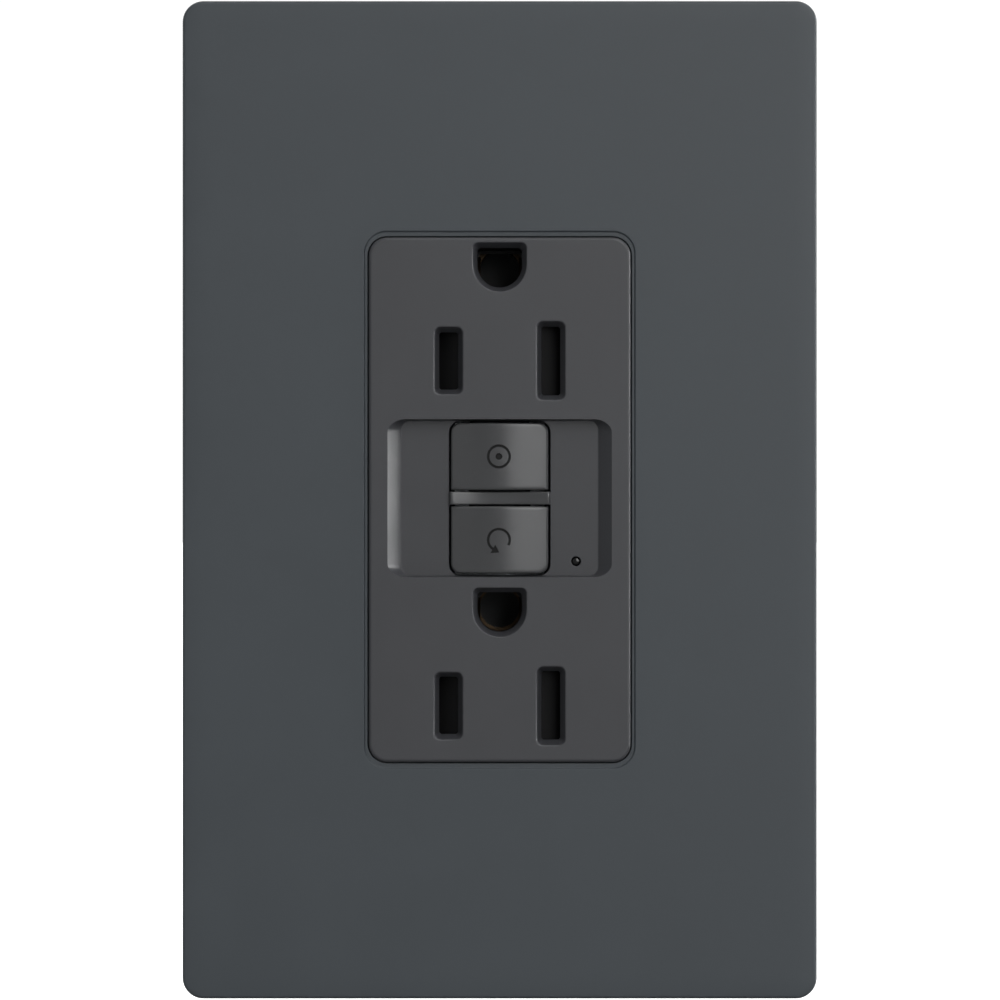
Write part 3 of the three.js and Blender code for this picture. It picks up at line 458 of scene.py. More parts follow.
# ================================================================== materials
# Patterns are laid out in millimetres in the frame, so grain and wear keep their real scale.
class Graph:
    """Shader nodes of a material or a world. Methods return the output socket of what they add."""

    def __init__(self, owner, output="ShaderNodeOutputMaterial"):
        owner.use_nodes = True
        self.owner, self.tree = owner, owner.node_tree
        self.tree.nodes.clear()
        self.output = self.tree.nodes.new(output)

    def node(self, kind, inputs=None, out=0, **settings):
        made = self.tree.nodes.new(kind)
        for key, value in settings.items():
            setattr(made, key, value)
        for key, value in (inputs or {}).items():
            socket = made.inputs[key]
            if hasattr(value, "is_output"):
                self.tree.links.new(value, socket)
            elif socket.type == "RGBA":
                socket.default_value = (*value[:3], 1)
            else:
                socket.default_value = value
        return made.outputs[out]

    def finish(self, shader):
        self.tree.links.new(shader, self.output.inputs[0])
        return self.owner

    def math(self, operation, a, b=0.0, clamp=False):
        return self.node("ShaderNodeMath", {0: a, 1: b}, operation=operation, use_clamp=clamp)

    def mix(self, factor, a, b, blend="MIX"):
        return self.node("ShaderNodeMix", {0: factor, 6: a, 7: b}, out=2, data_type="RGBA",
                         blend_type=blend)

    def remap(self, value, low, high, span=(0.3, 0.7)):
        """Value running over span becomes low to high. Noise mostly lies in 0.3 to 0.7."""
        return self.node("ShaderNodeMapRange", {"Value": value, "From Min": span[0],
                         "From Max": span[1], "To Min": low, "To Max": high}, clamp=True)


class Surface(Graph):
    def __init__(self, name):
        super().__init__(bpy.data.materials.new(name))
        self.mm = self.node("ShaderNodeMapping", {
            "Vector": self.node("ShaderNodeTexCoord", out="Object"), "Scale": (1000, 1000, 1000)})

    def scaled(self, scale):
        return self.node("ShaderNodeMapping", {"Vector": self.mm, "Scale": scale})

    def noise(self, size, detail=2.0, rough=0.5, vector=None, distortion=0.0):
        """size: millimetres a blotch is across."""
        return self.node("ShaderNodeTexNoise", {
            "Vector": vector or self.mm, "Scale": 1 / size, "Detail": detail,
            "Roughness": rough, "Distortion": distortion})

    def edges(self, radius):
        """1 on edges within radius millimetres, 0 on open faces."""
        rounded = self.node("ShaderNodeBevel", {"Radius": radius * 0.001}, samples=6)
        normal = self.node("ShaderNodeNewGeometry", out="Normal")
        facing = self.node("ShaderNodeVectorMath", {0: rounded, 1: normal}, out="Value",
                           operation="DOT_PRODUCT")
        return self.remap(facing, 0.0, 1.0, span=(0.995, 0.86))

    def surface(self, height, micron, **inputs):
        """Principled surface with relief `micron` micrometres deep."""
        inputs["Normal"] = self.node("ShaderNodeBump", {
            "Height": height, "Distance": micron * 1e-6, "Strength": 1.0})
        named = {key.replace("_", " "): value for key, value in inputs.items()}
        return self.finish(self.node("ShaderNodeBsdfPrincipled", named))


def srgb(*levels):
    return tuple(((c / 255 + 0.055) / 1.055) ** 2.4 if c > 10 else c / 255 / 12.92
                 for c in levels)


def plastic(name, color, rough, grain, micron, mottle, wear, spec=0.5, edge=0.25):
    """Moulded plastic: fine grain, faint mottling, smoother and slightly paler edges."""
    m = Surface(name)
    fine = m.noise(grain, detail=3.0, rough=0.6)
    coarse = m.noise(grain * 3.1)
    big = m.noise(14.0, detail=3.0, rough=0.55, distortion=0.6)
    mid = m.noise(2.2, detail=4.0, rough=0.6)
    tone = m.math("ADD", m.remap(big, 1 - mottle, 1 + mottle),
                  m.remap(mid, -mottle * 0.35, mottle * 0.35))
    grey = m.node("ShaderNodeCombineColor", {0: tone, 1: tone, 2: tone})
    base = m.mix(1.0, color, grey, "MULTIPLY")
    edges = m.edges(edge)
    paler = tuple(min(1, c * 1.7 + 0.02) for c in color)
    base = m.mix(m.math("MULTIPLY", edges, wear), base, paler)
    roughness = m.math("ADD", m.remap(mid, rough - 0.035, rough + 0.035, span=(0.25, 0.75)),
                       m.math("MULTIPLY", m.remap(big, -0.02, 0.02), 1.0))
    roughness = m.math("SUBTRACT", roughness, m.math("MULTIPLY", edges, 0.08), clamp=True)
    height = m.math("ADD", fine, m.math("MULTIPLY", coarse, 0.8))
    return m.surface(height, micron, Base_Color=base, Roughness=roughness, IOR=1.5,
                     Specular_IOR_Level=spec, Coat_Weight=0.0, Coat_Roughness=0.2)


def metal(name, color, tint, rough, brush, micron, tarnish=0.12, wear=0.35, bright=1.25):
    """Stamped or plated metal: rolling lines (brush: their frequency in x, y, z), blotches of
    tint, brighter rubbed edges."""
    m = Surface(name)
    lines = m.noise(1.0, detail=4.0, rough=0.65, vector=m.scaled(brush))
    blotches = m.noise(3.5, detail=4.0, rough=0.6, distortion=1.2)
    fine = m.noise(0.12)
    blotted = m.remap(blotches, 0.0, 1.0, span=(0.35, 0.72))
    base = m.mix(m.math("MULTIPLY", blotted, tarnish * 3), color, tint)
    edges = m.edges(0.12)
    rubbed = tuple(min(1, c * bright) for c in color)
    base = m.mix(m.math("MULTIPLY", edges, wear), base, rubbed)
    roughness = m.math("ADD", m.remap(lines, rough - 0.07, rough + 0.07),
                       m.remap(blotches, -0.02, 0.09, span=(0.3, 0.75)))
    roughness = m.math("SUBTRACT", roughness, m.math("MULTIPLY", edges, 0.08), clamp=True)
    height = m.math("ADD", lines, m.math("MULTIPLY", fine, 0.4))
    return m.surface(height, micron, Base_Color=base, Metallic=1.0, Roughness=roughness)


def enamel(name, color):
    """Baked enamel on a steel screw: slight orange peel, rubbed through a little on its edges."""
    m = Surface(name)
    peel = m.noise(0.5)
    chips = m.noise(0.25, detail=4.0, rough=0.7)
    chipped = m.remap(chips, 0.0, 0.85, span=(0.52, 0.62))
    bare = m.math("MULTIPLY", m.edges(0.12), chipped, clamp=True)
    coat = m.mix(m.remap(m.noise(3.0), 0.0, 0.4), color, tuple(c * 0.8 for c in color))
    return m.surface(peel, 6.0, Base_Color=m.mix(bare, coat, (0.5, 0.5, 0.5)), Metallic=bare,
                     Roughness=m.remap(peel, 0.3, 0.4))


def fibre():
    """Pressed fibre: strands running both ways."""
    m = Surface("pressed_fibre")
    one = m.noise(1.0, detail=5.0, rough=0.75, vector=m.scaled((0.8, 3.0, 7.0)))
    other = m.noise(1.0, detail=5.0, rough=0.75, vector=m.scaled((7.0, 3.0, 0.8)))
    strands = m.math("MAXIMUM", one, other)
    base = m.mix(m.remap(strands, 0.0, 1.0, span=(0.42, 0.72)),
                 (0.30, 0.20, 0.11), (0.56, 0.43, 0.27))
    base = m.mix(m.math("MULTIPLY", m.edges(0.2), 0.5), base, (0.66, 0.55, 0.38))
    return m.surface(strands, 28.0, Base_Color=base, Specular_IOR_Level=0.25,
                     Roughness=m.remap(strands, 0.92, 0.74, span=(0.3, 0.8)))


def coated_core():
    m = Surface("coated_core")
    grain = m.noise(0.35, detail=4.0, rough=0.6)
    tone = m.remap(m.noise(4.0), 0, 1)
    return m.surface(grain, 16.0, Base_Color=m.mix(tone, srgb(44, 46, 50), srgb(58, 60, 64)),
                     Roughness=m.remap(grain, 0.5, 0.66))


def light_pipe():
    """Dark tinted clear plastic."""
    m = Surface("light_pipe_plastic")
    ripple = m.noise(0.8)
    return m.surface(ripple, 1.5, Base_Color=srgb(6, 8, 7), IOR=1.49, Transmission_Weight=0.25,
                     Roughness=m.remap(ripple, 0.08, 0.2))


def lamp():
    m = Surface("lamp_epoxy")
    ripple = m.noise(0.7, detail=3.0)
    base = m.mix(m.remap(ripple, 0, 1), srgb(128, 176, 132), srgb(150, 196, 152))
    return m.surface(ripple, 1.0, Base_Color=base, IOR=1.52, Transmission_Weight=0.35,
                     Roughness=m.remap(ripple, 0.1, 0.22))


def circuit_board():
    """Solder mask over copper tracks and pads; bare laminate on the cut edges."""
    m = Surface("glass_epoxy_board")
    flat = m.node("ShaderNodeMapping", {"Vector": m.mm, "Rotation": (radians(90), 0, 0)})
    black, white = (0, 0, 0), (1, 1, 1)
    tracks = m.node("ShaderNodeTexBrick", {
        "Vector": flat, "Scale": 0.42, "Mortar Size": 0.07, "Mortar Smooth": 0.1,
        "Brick Width": 2.3, "Row Height": 0.9, "Color1": black, "Color2": black,
        "Mortar": white})
    cells = m.node("ShaderNodeTexVoronoi", {"Vector": flat, "Scale": 0.28}, out="Distance")
    pads = m.remap(cells, 0.0, 1.0, span=(0.16, 0.12))
    copper = m.math("MAXIMUM", m.node("ShaderNodeRGBToBW", {0: tracks}), pads, clamp=True)
    base = m.mix(m.math("MULTIPLY", copper, 0.75), srgb(22, 72, 46), srgb(44, 112, 70))
    normal = m.node("ShaderNodeTexCoord", out="Normal")
    facing = m.math("ABSOLUTE", m.node("ShaderNodeSeparateXYZ", {0: normal}, out=1))
    base = m.mix(m.remap(facing, 1.0, 0.0, span=(0.5, 0.6)), base, srgb(176, 168, 120))
    grain = m.math("MULTIPLY", m.noise(0.5, detail=3.0), 0.25)
    height = m.math("ADD", m.math("MULTIPLY", copper, 1.0), grain)
    return m.surface(height, 30.0, Base_Color=base, Coat_Weight=0.2,
                     Roughness=m.remap(m.noise(1.5, detail=3.0), 0.24, 0.4))


# Keys are the frame's slot names, then those of extra materials.
MATERIALS = {
    "wall_plate": plastic("wall_plate_plastic", srgb(62, 68, 73), rough=0.44, grain=0.3,
                          micron=5.0, mottle=0.03, wear=0.05),
    "device_face": plastic("device_face_plastic", srgb(62.5, 63.5, 67), rough=0.38, grain=0.26,
                           micron=3.5, mottle=0.03, wear=0.05),
    "button": plastic("button_plastic", srgb(71, 72, 73.5), rough=0.22, grain=0.2,
                      micron=1.0, mottle=0.02, wear=0.05),
    # also painted shade: the walls deep in the face's pin openings get this dark plastic
    "shutter": plastic("shutter_plastic", srgb(17, 17, 18), rough=0.5, grain=0.2,
                       micron=2.0, mottle=0.06, wear=0.15, spec=0.25),
    "housing": plastic("housing_plastic", srgb(34, 35, 37), rough=0.42, grain=0.35,
                       micron=7.0, mottle=0.09, wear=0.22),
    "separator": plastic("separator_plastic", srgb(62, 64, 66), rough=0.46, grain=0.3,
                         micron=6.0, mottle=0.07, wear=0.2),
    "sub_plate": plastic("sub_plate_plastic", srgb(58, 61, 64), rough=0.5, grain=0.4,
                         micron=8.0, mottle=0.08, wear=0.15),
    "nylon": plastic("nylon_plastic", srgb(214, 208, 190), rough=0.42, grain=0.3,
                     micron=4.0, mottle=0.06, wear=0.3),
    "zinc": metal("zinc_plated_steel", (0.60, 0.62, 0.65), tint=(0.47, 0.49, 0.50), rough=0.33,
                  brush=(0.25, 6.0, 9.0), micron=2.0, tarnish=0.16),
    "clamp_zinc": metal("zinc_plated_clamp", (0.58, 0.60, 0.62), tint=(0.44, 0.46, 0.46),
                        rough=0.36, brush=(7.0, 7.0, 0.6), micron=2.4, tarnish=0.18),
    "steel": metal("bright_steel", (0.55, 0.56, 0.58), tint=(0.38, 0.38, 0.39), rough=0.28,
                   brush=(9.0, 0.5, 9.0), micron=1.2),
    "brass": metal("stamped_brass", (0.80, 0.58, 0.25), tint=(0.50, 0.33, 0.13), rough=0.27,
                   brush=(6.0, 0.8, 8.0), micron=1.4, tarnish=0.15, bright=1.15),
    "nickel": metal("nickel_plate", (0.66, 0.65, 0.62), tint=(0.50, 0.48, 0.44), rough=0.22,
                    brush=(6.0, 0.8, 8.0), micron=1.0, tarnish=0.1),
    "copper": metal("copper_sheet", (0.80, 0.40, 0.24), tint=(0.42, 0.18, 0.10), rough=0.26,
                    brush=(8.0, 8.0, 0.7), micron=1.2, tarnish=0.16),
    "wire": metal("enamelled_wire", (0.62, 0.25, 0.10), tint=(0.34, 0.12, 0.05), rough=0.2,
                  brush=(1.0, 1.0, 1.0), micron=0.4),
    "green_screw": metal("green_plated_screw", (0.10, 0.36, 0.16), tint=(0.04, 0.20, 0.08),
                         rough=0.3, brush=(5.0, 5.0, 1.0), micron=1.2, tarnish=0.2, wear=0.5,
                         bright=2.2),
    "painted_screw": enamel("enamelled_screw", srgb(66, 70, 74)),
    "fibre": fibre(),
    "ferrite": coated_core(),
    "lens": light_pipe(),
    "led": lamp(),
    "board": circuit_board(),
    "solder": metal("solder", (0.66, 0.66, 0.66), tint=(0.5, 0.5, 0.5), rough=0.24,
                    brush=(3, 3, 3), micron=3.0),
    "chip": plastic("chip_epoxy", srgb(30, 30, 32), rough=0.55, grain=0.12, micron=3.0,
                    mottle=0.05, wear=0.1, edge=0.1),
    "film": plastic("capacitor_case", srgb(168, 128, 40), rough=0.32, grain=0.5, micron=2.0,
                    mottle=0.06, wear=0.2),
    "disc": plastic("varistor_coat", srgb(24, 62, 120), rough=0.35, grain=0.9, micron=14.0,
                    mottle=0.08, wear=0.1),
    "resistor": plastic("resistor_coat", srgb(186, 160, 116), rough=0.4, grain=0.5, micron=3.0,
                        mottle=0.06, wear=0.1),
    # painted shade: near-black metal for the ground contacts, standing in for the shade deep down
    # the ground holes
    "bronze": metal("tarnished_bronze", (0.11, 0.075, 0.045), tint=(0.06, 0.045, 0.03),
                    rough=0.5, brush=(3, 3, 3), micron=2.0, tarnish=0.2, wear=0.15),
}


# ================================================================= wall plate
def make_wall_plate():
    """One closed section: up the rim, over the face, into the opening and back inside."""
    rings = []

    def rim(i, y):
        outline = mid_rect(PLATE_W - 2 * i, PLATE_H - 2 * i, max(PLATE_R - i, 0.25), 12)
        rings.append(place(outline, y, "y"))

    def opening(grow):
        return mid_rect(OPEN_W + 2 * grow, OPEN_H + 2 * grow, OPEN_R + grow, 12)

    def sag(i):     # the face rolls off a touch towards its rim
        return 0.07 * max(0.0, (3.2 - i) / 3.2) ** 2

    for i, y in ((0.14, 0.0), (0.04, -0.04), (0.0, -0.14), (0.0, -3.0)):
        rim(i, y)
    edge_r = 0.42
    top = PLATE_FRONT + sag(edge_r)
    for t in quarter(8):
        rim(edge_r * (1 - cos(t)), top + edge_r * (1 - sin(t)))
    for i in (0.8, 1.2, 1.7, 2.3, 3.2, 6.0):
        rim(i, PLATE_FRONT + sag(i))
    for grow in (3.0, 0.6):
        rings.append(place(opening(grow), PLATE_FRONT, "y"))
    mouth_r = 0.18
    for t in quarter(6):
        rings.append(place(opening(mouth_r * (1 - sin(t))),
                           PLATE_FRONT + mouth_r * (1 - cos(t)), "y"))
    # a thin ledge closes most of the gap round the device: (fraction across the gap, y)
    mouth, lip = np.array(opening(0.0)), np.array(mid_rect(LIP_W, LIP_H, LIP_R, 12))
    for t, y in ((0.02, LIP_FRONT - 0.01), (0.15, LIP_FRONT + 0.03), (0.86, LIP_FRONT + 0.03),
                 (0.97, LIP_FRONT + 0.06), (1.0, LIP_FRONT + 0.14), (1.0, -5.0),
                 (0.96, -4.92), (0.1, -4.9), (0.0, -4.84)):
        rings.append(place(mouth * (1 - t) + lip * t, y, "y"))
    # collar behind the opening, then the inner face and wall
    for grow, y in ((0.02, -3.6), (0.1, -3.44), (0.22, -3.4), (1.18, -3.4), (1.34, -3.46),
                    (1.4, -3.6), (1.4, -4.1), (1.5, -4.34), (1.75, -4.5)):
        rings.append(place(opening(grow), y, "y"))
    for i, y in ((2.6, -4.5), (2.15, -4.44), (1.84, -4.26), (1.72, -3.9), (1.7, -3.4),
                 (1.66, -0.14), (1.6, -0.04), (1.5, 0.0)):
        rim(i, y)
    plate = Solid(loft(rings, loop=True))
    # latch ribs with a lead-in ramp
    for side in SIGNS:
        for z in (-34, 34):
            ramp = PLATE_W / 2 - 1.3
            plate.add(prism([(side * 36.9, -1.5), (side * 36.9, -1.15), (side * ramp, -0.75),
                             (side * ramp, -1.8)], z - 5, z + 5, "z"))
    for end in SIGNS:
        ramp = PLATE_H / 2 - 1.3
        plate.add(prism([(-1.5, end * 59.45), (-1.15, end * 59.45), (-0.75, end * ramp),
                         (-1.8, end * ramp)], -6, 6, "x"))
    # thin ribs and round sunk marks on the inner face
    for x in (-28.5, 28.5):
        plate.add(box(x - 0.4, -4.6, -50, x + 0.4, -3.5, 50))
    for z in (-50, -42, 42, 50):
        plate.add(box(-28.6, -4.6, z - 0.4, 28.6, -3.5, z + 0.4))
    for centre in ((-33, 50), (33, 50), (-33, -50), (33, -50), (-33, 12), (33, -12),
                   (0, 55.5), (0, -55.5)):
        plate.cut(rod(1.6, -4.56, -3.0, centre, n=28))
    piece("wall_plate", "shell", plate.done(), "wall_plate", smooth=34)


# ================================================================= front cover
def ground_outline(z, grow=0.0):
    """U shape: flat top with small corners, straight sides, half-round below."""
    r, top, corner = 2.75 + grow, z + 2.15 + grow, 0.45 + 0.4 * grow
    return (arc(0, z, r, 180, 360, 20) + arc(r - corner, top - corner, corner, 0, 90, 5)
            + arc(corner - r, top - corner, corner, 90, 180, 5))


def funnel(outline, lead, back, rim=0.22, foot=0.22, slope=69, n=6):
    """Cutter for a hole in the face whose mouth leads in: outline(grow) gives its section.
    rim and foot: radii at the two ends of the sloping wall. slope: degrees."""
    slope = radians(slope)
    turns = [slope * k / n for k in range(n + 1)]
    profile = [(lead - rim * sin(t), rim * (1 - cos(t))) for t in turns]       # (grow, depth)
    foot_grow = foot * (1 - sin(slope))
    grow, depth = profile[-1]
    depth += (grow - foot_grow) * math.tan(slope)
    profile.append((foot_grow, depth))
    for k in range(1, n + 1):
        t = slope + (radians(90) - slope) * k / n
        profile.append((foot * (1 - sin(t)), depth + foot * (cos(slope) - cos(t))))
    stations = [(lead + 0.02, FACE_FRONT - 1.5), (lead + 0.004, FACE_FRONT - 0.02)]
    stations += [(g, FACE_FRONT + d) for g, d in profile] + [(0.0, back)]
    return loft([place(ccw(outline(g)), y, "y") for g, y in stations])


def panel_recess():
    """Cutter for the sunk panel, its sloping wall eased at both ends."""
    def outline(s):         # 0 at the floor, 1 at the face
        half_w, half_h = 12.16 + 1.74 * s, 9.6 + 0.2 * s
        corner = (1.0 + 1.3 * s, 1.15 + 0.5 * s)
        return rect(-half_w, PANEL_Z - half_h, half_w, PANEL_Z + half_h, corner)

    wall = [(0.0, 0.0), (0.055, 0.012), (0.10, 0.05), (0.145, 0.105), (0.19, 0.16),
            (0.86, 0.855), (0.91, 0.905), (0.95, 0.945), (0.98, 0.975), (1.0, 0.998)]
    depth = PANEL_FLOOR - FACE_FRONT
    rings = [place(outline(s), PANEL_FLOOR - depth * t, "y") for s, t in wall]
    return loft(rings + [place(outline(1.004), FACE_FRONT - 1.5, "y")])


def button_opening(z0, z1, radii):
    outline = ccw(rect(-6.25, z0, 6.25, z1, radii, 7))
    stations = [(0, -8.0), (0, PANEL_FLOOR - 0.03), (-0.10, PANEL_FLOOR - 0.001),
                (-0.07, PANEL_FLOOR + 0.03), (-0.025, PANEL_FLOOR + 0.09),
                (0, PANEL_FLOOR + 0.17), (0, 0)]
    return loft([place(inset(outline, i), y, "y") for i, y in stations])


def button_bridge():
    """Bar between the buttons, proudest at its ends, which roll down; long edges rounded."""
    half, roll, edge_r = 6.3, 0.30, 0.16
    z0, z1 = -0.6, 1.0

    def crest(x):
        y = -5.45 - 0.43 * abs(x / 6.0) ** 3 if abs(x) < 6.0 else -5.88
        to_end = half - abs(x)
        if to_end < roll:
            y = -4.86 + (y + 4.86) * math.sqrt(max(0.0, 1 - ((roll - to_end) / roll) ** 2))
        return min(y, -4.86)

    stations = {round(v, 4) for v in np.linspace(-half + roll, half - roll, 25)}
    stations |= {round(s * (half - roll * (1 - sin(t))), 4) for s in SIGNS for t in quarter(10)}
    rings = []
    for x in sorted(stations):
        y = crest(x)
        r = min(edge_r, max(0.01, (-4.5 - y) * 0.4))
        section = [(-3.4, z0), (-3.4, z1)]
        section += [(y + r * (1 - sin(t)), z1 - r * (1 - cos(t))) for t in quarter(4)]
        section += [(y + r * (1 - cos(t)), z0 + r * (1 - sin(t))) for t in quarter(4)]
        rings.append(place(section, x, "x"))
    return loft(rings)


def cover_skin_and_painted_shade(c):
    """The bridge is glossy like the buttons; walls deep in the pin holes are dark painted shade.
    """
    if abs(c[0]) < 6.32 and -0.62 < c[2] < 1.02 and c[1] < -4.95:
        return 1
    # painted shade: faces over 1.45 mm deep in the blade and ground openings get the dark shutter
    # plastic
    if c[1] > FACE_FRONT + 1.45:
        for blade_z, ground_z in zip(BLADE_Z, GROUND_Z):
            in_blade = abs(abs(c[0]) - BLADE_X) < 1.4 and abs(c[2] - blade_z) < 4.6
            if in_blade or math.hypot(c[0], c[2] - ground_z) < 3.9:
                return 2
    return 0


def make_front_cover():
    inner = FACE_FRONT + 1.9
    cover = Solid(prism(mid_rect(FACE_W, FACE_H, FACE_R, 12), FACE_FRONT, 2.2, round0=0.42,
                        steps=7))
    cover.add(prism(mid_rect(BODY_W, BODY_H, BODY_R), 0.5, 6.0, round0=0.35, round1=0.15,
                    steps=4))
    cover.cut(prism(mid_rect(FACE_W - 3.2, FACE_H - 3.2, 1.2, 6), inner, 7, round0=0.3),
              prism(mid_rect(BODY_W - 3.4, BODY_H - 3.4, 1.0, 6), 2.3, 8, round0=0.3))
    cover.add(prism(rect(-FACE_W / 2 + 1.2, PANEL_Z - 11.0, FACE_W / 2 - 1.2, PANEL_Z + 11.0,
                         0.4, 3), inner - 0.2, -3.1, round1=0.2))
    for side, end in CORNERS:
        cover.add(prism(mid_rect(6.2, 6.0, 0.8, 5, side * 17.5, end * 30.4), 2.0, 6.0,
                        round1=0.2))
    for z in GROUND_Z:      # collars behind the ground holes
        cover.add(prism(ground_outline(z, 0.7), inner - 0.2, -1.75, round1=0.15))
    cover.cut(panel_recess(), button_opening(1.0, 9.77, [0.05, 1.4, 1.4, 0.05]),
              button_opening(-9.37, -0.6, [1.4, 0.05, 0.05, 1.4]))
    cover.add(button_bridge())
    for blade_z, ground_z in zip(BLADE_Z, GROUND_Z):
        for side, length in ((-1, 6.9), (1, 8.3)):
            cover.cut(funnel(lambda grow: mid_rect(2.3 + 2 * grow, length + 0.2 + 2 * grow,
                                                   0.32 + grow * 0.75, 6, side * BLADE_X,
                                                   blade_z), lead=0.78, back=-2.0))
        cover.cut(funnel(lambda grow: ground_outline(ground_z, grow), lead=0.70, back=1.2,
                         rim=0.14))
    cover.cut(rod(0.6, PANEL_FLOOR, 0, LED, n=28, flare0=0.08, beyond=1.0),
              rod(1.5, -4.15, 0, LED))
    for side, end in CORNERS:
        cover.cut(rod(1.15, 2.6, 7, (side * SCREW_X, end * SCREW_Z), n=24))
    piece("front_cover", "shell", cover.done(flat=0.15), "device_face", smooth=30,
          materials=["device_face", "button", "shutter"], pick=cover_skin_and_painted_shade)


# ==================================================================== buttons
def crown(x):
    """y of a button's face, curved across its width."""
    return BUTTON_MID + (BUTTON_EDGE - BUTTON_MID) * (x / BUTTON_W) ** 2


def mark_arc(centre, start, end):
    outline = (arc(*centre, MARK_OUT, start, end, 40) + arc(*centre, MARK_IN, end, start, 40))
    return prism(outline, -7.5, MARK_FLOOR)


def test_details(cap, z0, z1, mid_z):
    """Mark: a ring with a dot at its middle. Behind: a post and three ribs."""
    centre, w = (MARK_X, mid_z), BUTTON_W - 1.0
    cap.cut(mark_arc(centre, 0, 180), mark_arc(centre, 180, 360),
            rod(0.42, -7.5, MARK_FLOOR, centre, n=24))
    cap.add(prism(mid_rect(3.4, 2.4, 0.4, 4, 0, 4.9), -4.8, 4.6, round1=0.3),
            box(-w, -3.0, z0 + 0.2, w, -2.2, z0 + 1.1),
            box(-w, -3.0, z1 - 1.1, w, -2.2, z1 - 0.2),
            box(-0.35, -4.5, z0 + 0.9, 0.35, -3.1, z1 - 0.9))


def reset_details(cap, z0, z1, mid_z):
    """Mark: an open ring ending in an arrow head. Behind: a socket for the pin and two ribs."""
    centre = (MARK_X, mid_z)
    tip = radians(240)
    out, ahead = np.array([cos(tip), sin(tip)]), np.array([-sin(tip), cos(tip)])
    at = np.array(centre) + 1.34 * out
    head = [tuple(at - ahead * 0.1 + out * 0.62), tuple(at + ahead * 0.85),
            tuple(at - ahead * 0.1 - out * 0.62)]
    cap.cut(mark_arc(centre, -30, 90), mark_arc(centre, 89, 240),
            prism(head, -7.5, MARK_FLOOR))
    cap.add(rod(2.9, -4.8, -0.6, (0, PIN_Z), n=40, round1=0.25))
    cap.cut(rod(1.1, -3.7, 0, (0, PIN_Z), n=28))
    cap.add(box(-BUTTON_W + 1.1, -4.5, PIN_Z - 0.35, -2.7, -3.1, PIN_Z + 0.35),
            box(2.7, -4.5, PIN_Z - 0.35, BUTTON_W - 1.1, -3.1, PIN_Z + 0.35))


def make_button(node, z0, z1, radii, details):
    outline = ccw(rect(-BUTTON_W, z0, BUTTON_W, z1, radii, 8, sides=(20, 10)))
    mid_z, edge_r = (z0 + z1) / 2, 0.3
    rings = [place(outline, -2.6, "y"), place(outline, -3.2, "y")]
    for t in quarter(6):
        p = inset(outline, edge_r * (1 - cos(t)))
        rings.append(place(p, crown(p[:, 0]) + edge_r * (1 - sin(t)), "y"))
    last = inset(outline, edge_r)
    for s in (0.95, 0.87, 0.76, 0.62, 0.47, 0.32, 0.17, 0.06):
        p = np.stack([last[:, 0] * s, mid_z + (last[:, 1] - mid_z) * s], 1)
        rings.append(place(p, crown(p[:, 0]), "y"))
    cap = Solid(loft(rings))
    cap.cut(prism(rect(-BUTTON_W + 1.2, z0 + 1.0, BUTTON_W - 1.2, z1 - 1.0, 0.5, 4), -4.4, -2,
                  round0=0.3))
    details(cap, z0, z1, mid_z)

    def filled_mark(c):
        near = abs(c[0]) < 2.1 and abs(c[2] - mid_z) < 2.1
        return int(near and crown(c[0]) + 0.02 < c[1] < -5.9)

    piece(node, "cap", cap.done(flat=0.1), "button", f"{node}_body", ["button", "shutter"],
          smooth=32, pick=filled_mark)


# ==================================================== light pipe and shutters
def make_light_pipe():
    profile = [(0, -4.78), (0.45, -4.72, .1), (0.45, -4.0, .1), (1.25, -4.0, .15),
               (1.25, 13.2, .2), (0, 13.2)]
    piece("light_pipe", "rod", lathe(soft_line(profile, 0), LED, n=28), "lens")


def make_shutters():
    # (distance outwards from the middle plane, y, radius)
    section = [(7.9, -2.7, .25), (7.9, -1.7, .15), (2.9, -1.7, .15), (2.9, -4.3, .2),
               (4.9, -4.3, .45)]
    for tag, z in zip(("upper", "lower"), BLADE_Z):
        for side, pole, _ in SIDES:
            outline = soften([(side * a, y, r) for a, y, r in section], 0.2)
            block = Solid(prism(outline, z - 5.2, z + 5.2, "z", round0=0.15, round1=0.15))
            block.cut(rod(0.8, side * 2.5, side * 5.0, (-2.95, z), "x", 20))
            node = f"{pole}_shutter_{tag}"
            piece(node, "block", block.done(), "shutter", f"{node}_body")
        wire = coil(radius=0.5, turns=9, start=-4.45, length=8.9, centre=(-2.95, z), axis="x",
                    points=9 * 16 + 1, wire=0.09, n=6)
        spring(f"shutter_spring_{tag}", wire)


# ==================================================================== screws
def thread(low, high, pitch, depth):
    """A radius wave for a screw thread, fading in and out near its two ends."""
    def wave(h, angle):
        if h < low or h > high:
            return 0.0
        fade = min(1.0, (h - low) / (0.8 * pitch), (high - h) / (0.8 * pitch))
        turn = (h / pitch - angle / (2 * pi)) % 1.0
        crest = abs(2 * turn - 1)                       # 0 at the root, 1 at the crest
        return -depth * (1 - min(1.0, max(0.0, (crest - 0.12) / 0.7))) * fade
    return wave


def cross_arm(width, height, mouth, floor, taper, centre, axis):
    out = math.copysign(1.0, mouth - floor)
    wide = mid_rect(width, height, 0.12, 3, *centre)
    return loft([place(wide, mouth + out, axis), place(wide, mouth, axis),
                 place(mid_rect(width * taper[0], height * taper[1], 0.1, 3, *centre), floor,
                       axis)])


